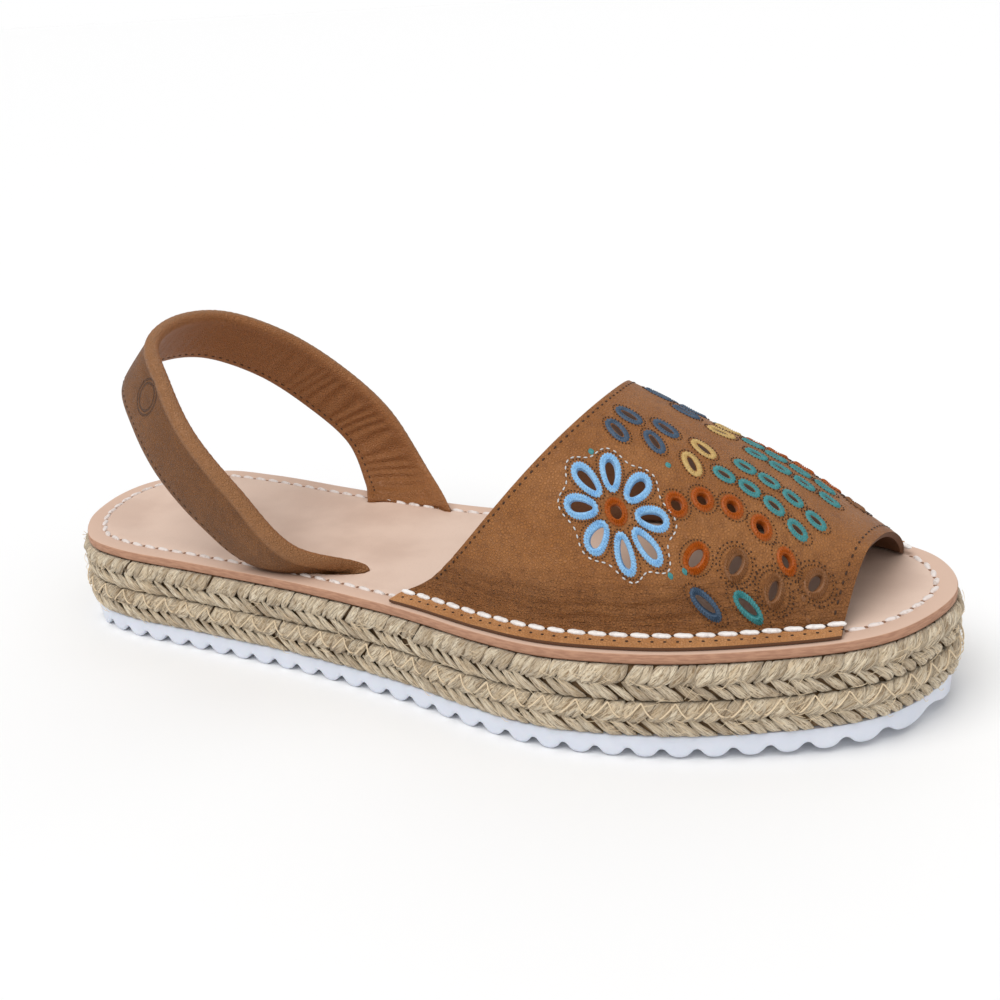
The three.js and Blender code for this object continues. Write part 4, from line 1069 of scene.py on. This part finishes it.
def stitch_template(rings=9, sides=8, twist=0.0):
    """A unit stitch: along it, across it and up, with round ends. Returns points and faces."""
    u = np.linspace(-1, 1, rings)
    radius = np.maximum(1 - np.abs(u) ** 3.2, 0.0) ** 0.5
    angle = np.arange(sides) * 2 * math.pi / sides
    ridge = 1 + twist * np.cos(2 * angle[None, :] + 7 * u[:, None])
    points = np.stack([np.broadcast_to(u[:, None], (rings, sides)),
                       radius[:, None] * np.cos(angle) * ridge, radius[:, None] * np.sin(angle) * ridge], -1)
    return points.reshape(-1, 3), grid_faces(rings, sides, around=True)


def stitches(places, alongs, normals, long, wide, tall, twist=0.0, rings=9, sides=8):
    """Many stitches lying on a surface, as one mesh."""
    template, faces = stitch_template(rings, sides, twist)
    alongs = unit(alongs)
    across = unit(np.cross(normals, alongs))
    upward = np.cross(alongs, across)
    long, wide, tall = (np.broadcast_to(size, (len(places),))[:, None, None] for size in (long, wide, tall))
    points = (places[:, None] + alongs[:, None] * (template[None, :, :1] * long / 2)
              + across[:, None] * template[None, :, 1:2] * wide / 2
              + upward[:, None] * template[None, :, 2:3] * tall / 2)
    count = len(template)
    all_faces = (faces[None] + (np.arange(len(places)) * count)[:, None, None]).reshape(-1, 4)
    return points.reshape(-1, 3), all_faces.tolist()


def needle_holes(centre, side, turn, long, wide, drop=0.0, out=1.95):
    """The ring of needle holes round a satin border, drawn as dark dots of painted shade."""
    loop = turned(hole_outline(long + 2 * out, wide + 2 * out, drop, 60), turn)
    return running_stitch(np.asarray(centre) + np.vstack([loop, loop[:1]]), side, *NEEDLE_HOLE)


def running_stitch(path, side, long, gap, wide, tall):
    """A row of stitches along a path of (ahead, round) points on the vamp."""
    reached = length_along(path)
    places = np.arange(long / 2, reached[-1] - long / 2, long + gap)
    here, normal = on_vamp(*at_distance(places, reached, path).T, side)
    there, _ = on_vamp(*at_distance(places + 0.2, reached, path).T, side)
    return stitches(here + normal * 0.12, there - here + 1e-6, normal, long, wide, tall, rings=5, sides=6)


def hole_cutter(centre, side, turn, long, wide, drop=0.0):
    """A plug of the hole's shape through the wall."""
    outline = hole_outline(long, wide, drop, 28)
    levels = [laid_on_vamp(centre, side, turn, outline, lift) for lift in PLUG_LEVELS]
    return np.concatenate(levels), closed_faces(2, len(outline))


cutters = []
satin = {name: [] for name in THREADS}


def punch(colour, *shape, ring=True):
    """Punches one hole, binds it with satin stitch and sets a ring of needle holes round it, as dark dots of
    painted shade.
    """
    cutters.append(hole_cutter(*shape))
    satin[colour].append(satin_ring(*shape))
    if ring:
        satin["dark"].append(needle_holes(*shape))


for side in (-1, 1):
    middle = (FLOWER["ahead"], FLOWER["round"])
    for k in range(FLOWER["petals"]):
        spin = 360 * (k + 0.5) / FLOWER["petals"]
        centre = (middle[0] + FLOWER["petal_centre"] * math.cos(math.radians(spin)),
                  middle[1] + FLOWER["petal_centre"] * math.sin(math.radians(spin)))
        punch("blue", centre, side, spin, FLOWER["long"], FLOWER["wide"], PETAL_DROP)
    punch("rust", middle, side, 0, FLOWER["heart"], FLOWER["heart"], ring=False)
    for centre in ROUND_EYELETS:
        punch("rust", centre, side, 0, EYELET_WIDE, EYELET_WIDE)
    for ahead, round_, turn, colour in LEAVES:
        punch(colour, (ahead, round_), side, turn, LEAF_LONG, LEAF_WIDE)
    for ahead, round_, *leaf, colour in SPRIGS:
        satin[colour].append(satin_ring((ahead, round_), side, *leaf, band=1.5, height=0.55))
        # a dark pad inside each small leaf is painted shade where a hole would show; no hole is cut
        satin["dark"].append(satin_pad((ahead, round_), side, *leaf, height=0.3))
        # the needle holes round each small leaf are dark dots of painted shade
        satin["dark"].append(needle_holes((ahead, round_), side, *leaf, out=1.8))
    for ahead, round_, colour in DOTS:
        satin[colour].append(satin_pad((ahead, round_), side, 0, DOT_WIDE, DOT_WIDE, 0.5))
    angle = np.linspace(0, 2 * math.pi, 160)
    wave = HALO_RADIUS + HALO_WAVE * np.cos(FLOWER["petals"] * angle - math.pi)
    halo = np.array(middle) + wave[:, None] * np.stack([np.cos(angle), np.sin(angle)], -1)
    satin["white"].append(running_stitch(halo, side, *HALO_STITCH))
    for ahead, round_, turn, colour in LEAVES[OUTLINED_LEAVES]:
        leaf = hole_outline(LEAF_LONG + 2 * OUTLINE_OUT, LEAF_WIDE + 2 * OUTLINE_OUT, 0, 60)
        loop = (ahead, round_) + turned(leaf, turn)
        satin["dark"].append(running_stitch(loop, side, *OUTLINE_STITCH))

cut_away(vamp, *joined(cutters), finish_number=2)
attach(vamp, "root")
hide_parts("vamp")

for colour, parts in satin.items():
    sewn = build_piece("cutwork_" + colour, *joined(parts), [thread_finishes[colour]], sharp=80)
    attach(sewn, "root")


# White stitches. Waxed thread sewn 5 mm inside the rim all round; at the sides it goes through the vamp's
# flange. Each stitch is short, thick and a little slanted, with a small dark hole at either end, and a row
# of pinholes runs along the flange beside it.
STITCH_INSET = 5.2
STITCH_PITCH = 5.1
SEAM_SHORTER = 32
THREAD_ON_FLANGE = 0.25
THREAD_IN_BOARD = 0.2
HOLE_SUNK = 0.05
PIN_SUNK = 0.53
# length, width and height of a stitch on the flange and on the bare board, and how much it slants
STITCHES = {"flange": (4.75, 1.65, 1.2), "board": (4.3, 1.5, 1.15)}
STITCH_SLANT = {"flange": 0.1, "board": 0.2}
STITCH_HOLE = (1.1, 1.1, 0.35)
PINHOLE = (0.95, 0.75, 0.34)
PIN_PITCH = 2.9
PIN_OUT = 2.1
UPRIGHT = np.array([[0.0, 0.0, 1.0]])
# the second, darker thread is for the stitches sunk in the bare board
WHITE = [("white_waxed_thread", paint(240, 235, 231), paint(206, 196, 192)),
         ("board_waxed_thread", paint(228, 217, 211), paint(180, 160, 146))]
SHADOW = [("stitch_hole_shadow", paint(62, 38, 22), paint(44, 27, 16)),
          ("board_hole_shadow", paint(150, 112, 88), paint(120, 86, 66))]

seam = rim_place(np.arange(RIM_POINTS) * RIM_LENGTH / RIM_POINTS, -STITCH_INSET)
seam = np.vstack([seam, seam[:1]])
seam_reached = length_along(seam)


def seam_spot(reach):
    """Places on the line of the white seam, at distances along it."""
    return at_distance(np.asarray(reach) % seam_reached[-1], seam_reached, seam)


def seam_ways(reach, step):
    """Directions along the white seam and out of it."""
    ahead = unit(seam_spot(reach + step) - seam_spot(reach - step))
    return ahead, square_to(ahead)


def seam_bed(places):
    """Height of what the seam lies on at each place, and whether that is the vamp's flange."""
    heights = []
    for x, y in places:
        rear, front = vamp_span(0.0 if y < 0 else math.pi)
        slant = FLANGE_END_SLANT * (1 if y < 0 else -1)
        on_flange = (x > rear + slant - 0.5) & (x < front + slant * 0.2 + 0.5)
        heights.append(BOARD_TOP + toe_spring(x) + (SEAM + WALL + THREAD_ON_FLANGE if on_flange
                                                    else -THREAD_IN_BOARD))
    heights = np.array(heights)
    return heights, heights > BOARD_TOP + toe_spring(places[:, 0]) + 1


def level(directions):
    """Flat directions as directions in space."""
    return np.column_stack([directions, np.zeros(len(directions))])


stitch_count = round((RIM_LENGTH - SEAM_SHORTER) / STITCH_PITCH)
centres = np.arange(stitch_count) * seam_reached[-1] / stitch_count
seam_xy = seam_spot(centres)
seam_ahead, seam_out = seam_ways(centres, 1)
seam_z, seam_on_flange = seam_bed(seam_xy)
slant = np.where(seam_on_flange, STITCH_SLANT["flange"], STITCH_SLANT["board"])[:, None]
stitch_size = [np.where(seam_on_flange, *pair) for pair in zip(STITCHES["flange"], STITCHES["board"])]
white_points, white_faces = stitches(np.column_stack([seam_xy, seam_z]), level(seam_ahead + slant * seam_out),
                                     UPRIGHT, *stitch_size, twist=0.06, rings=13, sides=12)
white_finishes = [two_tone(name, colour, dark, (1.2, 2.0), (0.5, 0.7, 0.6), (0.35, 2.0, 0.08), Roughness=0.55,
                           Sheen_Weight=0.2) for name, colour, dark in WHITE]
white_stitches = build_piece("white_stitches", white_points, white_faces, white_finishes,
                             np.repeat(~seam_on_flange, len(white_faces) // stitch_count), sharp=80)
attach(white_stitches, "root")

between_xy = seam_spot(centres + seam_reached[-1] / stitch_count / 2)
between_z, between_on_flange = seam_bed(between_xy)
hole_points, hole_faces = stitches(np.column_stack([between_xy - seam_out * 0.3, between_z - HOLE_SUNK]),
                                   level(seam_ahead), UPRIGHT, *STITCH_HOLE, rings=6, sides=8)
pin_reach = np.arange(0, seam_reached[-1], PIN_PITCH)
pin_ahead, pin_out = seam_ways(pin_reach, 0.5)
pin_xy = seam_spot(pin_reach) + pin_out * PIN_OUT
pin_z, on_leather = seam_bed(pin_xy)
pin_points, pin_faces = stitches(np.column_stack([pin_xy, pin_z - PIN_SUNK])[on_leather],
                                 level(pin_ahead)[on_leather], UPRIGHT, *PINHOLE, rings=5, sides=6)
hole_finishes = [two_tone(name, colour, dark, (0.4,), Roughness=0.9) for name, colour, dark in SHADOW]
hole_on_board = np.repeat(~between_on_flange, len(hole_faces) // stitch_count)
stitch_holes = build_piece("stitch_holes", *joined([(hole_points, hole_faces), (pin_points, pin_faces)]),
                           hole_finishes, np.concatenate([hole_on_board, np.zeros(len(pin_faces), bool)]),
                           sharp=80)
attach(stitch_holes, "root")


# Edge stitching of the vamp. One row of small dark stitches runs inside the rear edge and one inside the
# toe edge, as on any unbound edge that has to keep its shape. Each stitch is sunk in its holes.
EDGE_THREAD = (0.55, 0.35)
# whether it is the toe edge, mm inside it, pitch and length of a stitch
EDGE_ROWS = [(False, 1.3, 2.05, 1.0), (True, 2.3, 2.5, 1.35)]


def edge_row(front, inset, pitch, long):
    """Stitches along the vamp's rear or front edge, inset mm inside it."""
    turn = np.linspace(0.06, math.pi - 0.06, 2000)
    ends = vamp_span(turn)
    x = ends[1] - inset if front else ends[0] + inset
    line = vamp_place(x, turn)
    reached = length_along(line)
    places = np.arange(pitch, reached[-1] - pitch, pitch)
    t = np.interp(places, reached, turn)
    x = np.interp(places, reached, x)
    here = vamp_place(x, t)
    forward = vamp_place(x + 0.2, t) - here
    over = vamp_place(x, t + 0.004) - here
    normal = unit(np.cross(forward, over))
    normal *= np.sign(normal[:, 2])[:, None]
    step = at_distance(places + 0.3, reached, line) - here
    return stitches(here + normal * 0.02, step, normal, long, *EDGE_THREAD, rings=5, sides=6)


edge_stitches = build_piece("vamp_edge_stitches", *joined([edge_row(*row) for row in EDGE_ROWS]),
                            [thread_finishes["dark"]], sharp=80)
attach(edge_stitches, "root")


# Heel strap. One band of brown leather folded over a thick roll at its upper edge and stitched near its
# lower edge. It passes behind the heel, and both ends go down through the slits of the insole board.
STRAP_THICKNESS = 2.8
STRAP_ROLL = 4.8
STRAP_RISE = 61.6
STRAP_HALF_SPAN = 38.8
STRAP_BACK = 39.6
# the upper edge from behind the heel to near the slit: how far ahead, to the side and up, as shares; then
# the way from there to the lower edge, back, out and down; then how bowed the band is and how full the roll
STRAP_PATH = [
    (0, 0, 1, 0.664, 0, 0.741, 0.01, 1), (0.049, 0.428, 0.96, 0.659, 0.064, 0.741, 0.015, 1),
    (0.21, 0.719, 0.836, 0.645, 0.08, 0.76, 0.02, 1), (0.39, 0.93, 0.651, 0.668, 0, 0.736, 0.03, 1),
    (0.605, 1, 0.421, 0.75, -0.055, 0.632, 0.06, 0.95), (0.793, 0.923, 0.162, 1.0, -0.19, 0.36, 0.12, 0.8),
]
# across the band from its upper edge: place, share of a thickness, and the thickness
STRAP_SECTION = [(0.0, 0.3, STRAP_ROLL), (0.045, 0.8, STRAP_ROLL), (0.1, 0.96, STRAP_ROLL),
                 (0.17, 0.7, STRAP_ROLL), (0.3, 1, STRAP_THICKNESS), (0.86, 0.95, STRAP_THICKNESS),
                 (1.0, 0.6, STRAP_THICKNESS)]
STRAP_STATIONS = 620
STRAP_ACROSS = 44
STRAP_TAN = paint(118, 75, 38)
STRAP_LIGHT = paint(142, 94, 52)
STRAP_DARK = paint(78, 47, 25)
STRAP_BACK_FACE = paint(152, 98, 55)
# a paler tan along the roll, painted as its highlight
STRAP_ROLL_HIGHLIGHT = paint(160, 112, 72)
STRAP_STITCH_LINE = 0.9
STRAP_STITCH_PITCH = 2.35
STRAP_STITCH = (1.2, 0.5, 0.35)
STRAP_STITCH_ENDS = 8
# a plain double ring is pressed into the outer face behind the heel
STAMP_PLACE = np.array([-82.7, -25.7, 73.7])
STAMP_RINGS = [5.1, 3.9]
STAMP_LINE = 0.42
STAMP_DEPTH = 0.4


def strap_rows():
    """Upper edge, lower edge, bow and roll of the strap at its stations, outer slit to inner slit."""
    half = []
    reach_x = SLIT_FRONT - STRAP_BACK
    for reach, side, up, back, out, down, bow, roll in STRAP_PATH:
        top = np.array([STRAP_BACK + reach * reach_x - SOLE_LENGTH / 2, side * STRAP_HALF_SPAN,
                        BOARD_TOP + up * STRAP_RISE])
        low = top + np.array([-back, out, -down]) * STRAP_WIDTH
        half.append((top, low, bow * STRAP_WIDTH, roll))
    for height in (BOARD_TOP + SLIT_THICKNESS / 2, BOARD_BOTTOM + SEAM):
        front = SLIT_FRONT - SOLE_LENGTH / 2
        half.append((np.array([front, SLIT_HALF_GAUGE, height]),
                     np.array([front - SLIT_LENGTH, SLIT_HALF_GAUGE, height]), SLIT_BOW, 0.5))
    flip = np.array([1, -1, 1])
    return [(top * flip, low * flip, bow, roll) for top, low, bow, roll in half[:0:-1]] + half


def strap_grid():
    """The strap's surface as rows of closed sections, with its marks."""
    rows = strap_rows()
    top = smooth_curve([row[0] for row in rows], False, STRAP_STATIONS)
    low = smooth_curve([row[1] for row in rows], False, STRAP_STATIONS)
    t = np.linspace(0, len(rows) - 1, STRAP_STATIONS)
    bow, roll = (np.interp(t, np.arange(len(rows)), [row[k] for row in rows]) for k in (2, 3))
    for _ in range(30):
        bow[1:-1] = 0.5 * bow[1:-1] + 0.25 * (bow[:-2] + bow[2:])
        roll[1:-1] = 0.5 * roll[1:-1] + 0.25 * (roll[:-2] + roll[2:])
    middle = (top + low) / 2
    outward = unit(np.cross(unit(np.gradient(middle, axis=0)), low - top))
    table = np.array(STRAP_SECTION)
    across = 0.5 - 0.5 * np.cos(np.pi * np.linspace(0, 1, STRAP_ACROSS // 2))
    across = 0.35 * across + 0.65 * np.linspace(0, 1, STRAP_ACROSS // 2)
    points, marks_across, marks_inside = [], [], []
    for hand in (1, -1):
        order = across if hand == 1 else across[::-1]
        for a in order:
            thick_roll = np.interp(a, table[:, 0], table[:, 1] * table[:, 2])
            rolled = np.interp(a, table[:, 0], (table[:, 2] == STRAP_ROLL).astype(float))
            flat = thick_roll * (1 + (roll - 1) * rolled) / 2
            bowed = bow * 4 * a * (1 - a)
            points.append(top * (1 - a) + low * a + outward * (bowed + hand * flat)[:, None])
            marks_across.append(np.full(STRAP_STATIONS, a))
            marks_inside.append(np.full(STRAP_STATIONS, 0.0 if hand == 1 else 1.0))
    return np.stack(points, 1), np.stack(marks_across, 1), np.stack(marks_inside, 1), length_along(middle)


strap_points, strap_across, strap_inside, strap_length = strap_grid()
for _ in range(2):
    beside = np.roll(strap_points, 1, axis=1) + np.roll(strap_points, -1, axis=1)
    strap_points = 0.5 * strap_points + 0.25 * beside
strap_points[..., 1] += STRAP_AXIS_SIDE
strap_normal = unit(np.cross(np.roll(strap_points, -1, axis=1) - np.roll(strap_points, 1, axis=1),
                             np.gradient(strap_points, axis=0)))
if np.sum((strap_points - strap_points.mean(axis=1, keepdims=True)) * strap_normal) < 0:
    strap_normal = -strap_normal
place_along = np.broadcast_to(strap_length[:, None], strap_across.shape)
wrinkle = (np.sin(place_along * 4.1 + 2.0 * np.sin(place_along * 0.31)) * 0.5
           + np.sin(place_along * 2.57 + 1.3 + 3.0 * strap_across) * 0.5)
on_roll = np.exp(-((strap_across - 0.085) / 0.1) ** 2)
crease_below_roll = np.exp(-((strap_across - 0.22) / 0.03) ** 2) * (1 - strap_inside)
stitch_line = np.exp(-((strap_across - STRAP_STITCH_LINE) / 0.03) ** 2)
fold = 0.06 * wrinkle * on_roll - 0.38 * crease_below_roll - 0.12 * stitch_line
to_far_end = smooth_share(place_along / strap_length[-1], 0.62, 0.8)
inner_face = strap_inside * smooth_share(strap_across, 0.12, 0.3) * smooth_share(strap_across, 0.95, 0.8)
fold += inner_face * (0.06 + 0.26 * to_far_end) * np.sin(
    place_along * 1.7 + 9 * strap_across + 2.2 * np.sin(place_along * 0.33 + 4 * strap_across))

# how far each point of the outer face is from the middle of the pressed ring, for the finish
outer_face = strap_inside < 0.5
nearest = np.argmin(np.where(outer_face, np.linalg.norm(strap_points - STAMP_PLACE, axis=2), 1e9))
stamp_far = np.linalg.norm(strap_points - strap_points.reshape(-1, 3)[nearest], axis=2)
stamp_far = np.where(outer_face, stamp_far, 99.0)
strap_points = strap_points + strap_normal * fold[..., None]


def strap_finish():
    """The vamp's kind of leather, with a painted highlight along the roll, and the pressed double ring."""
    made = leather_finish("strap_leather_finish", STRAP_TAN, STRAP_LIGHT, STRAP_DARK, cloudy=0.5)
    base = made.node_tree.nodes["Principled BSDF"].inputs["Base Color"].links[0].from_socket
    across = mark_of(made, "across")
    # painted highlight along the roll
    body = blend_of(made, steps_of(made, across, 0.21, 0.13, 0.7), base, STRAP_ROLL_HIGHLIGHT)
    body = blend_of(made, steps_of(made, mark_of(made, "inside"), 0.4, 0.9, 0.8), body, STRAP_BACK_FACE)
    pressed = 0.0
    for radius in STAMP_RINGS:
        off = math_of(made, "ABSOLUTE", math_of(made, "SUBTRACT", mark_of(made, "stamp"), radius))
        pressed = math_of(made, "MAXIMUM", pressed, steps_of(made, off, STAMP_LINE, STAMP_LINE / 3))
    shade_with(made, "Base Color", blend_of(made, steps_of(made, pressed, 0.0, 1.0, 0.8), body, STRAP_DARK))
    grained = made.node_tree.nodes["Principled BSDF"].inputs["Normal"].links[0].from_socket
    raise_by(made, steps_of(made, pressed, 1.0, 0.0), STAMP_DEPTH, grained)
    return made


strap_marks = {"across": strap_across, "inside": strap_inside, "stamp": stamp_far}
strap = build_piece("strap_band", strap_points, closed_faces(STRAP_STATIONS, STRAP_ACROSS), [strap_finish()],
                    None, strap_marks, sharp=60, merge=True)
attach(strap, "root")
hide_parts("heel_strap")

# one row of stitches on the outer face and one on the inner face, as near the lower edge
row_low = int(np.argmin(np.abs(strap_across[0, :STRAP_ACROSS // 2] - STRAP_STITCH_LINE)))
sewn_rows = []
for row in (row_low, STRAP_ACROSS - 1 - row_low):
    line = strap_points[:, row]
    reached = length_along(line)
    places = np.arange(STRAP_STITCH_ENDS, reached[-1] - STRAP_STITCH_ENDS, STRAP_STITCH_PITCH)
    spots, ahead = at_distance(places, reached, line), at_distance(places + 0.4, reached, line)
    upward = at_distance(places, reached, strap_normal[:, row])
    sewn_rows.append(stitches(spots + upward * 0.02, ahead - spots, upward, *STRAP_STITCH, rings=5, sides=6))
strap_stitches = build_piece("strap_stitches", *joined(sewn_rows), [thread_finishes["dark"]], sharp=80)
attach(strap_stitches, "root")
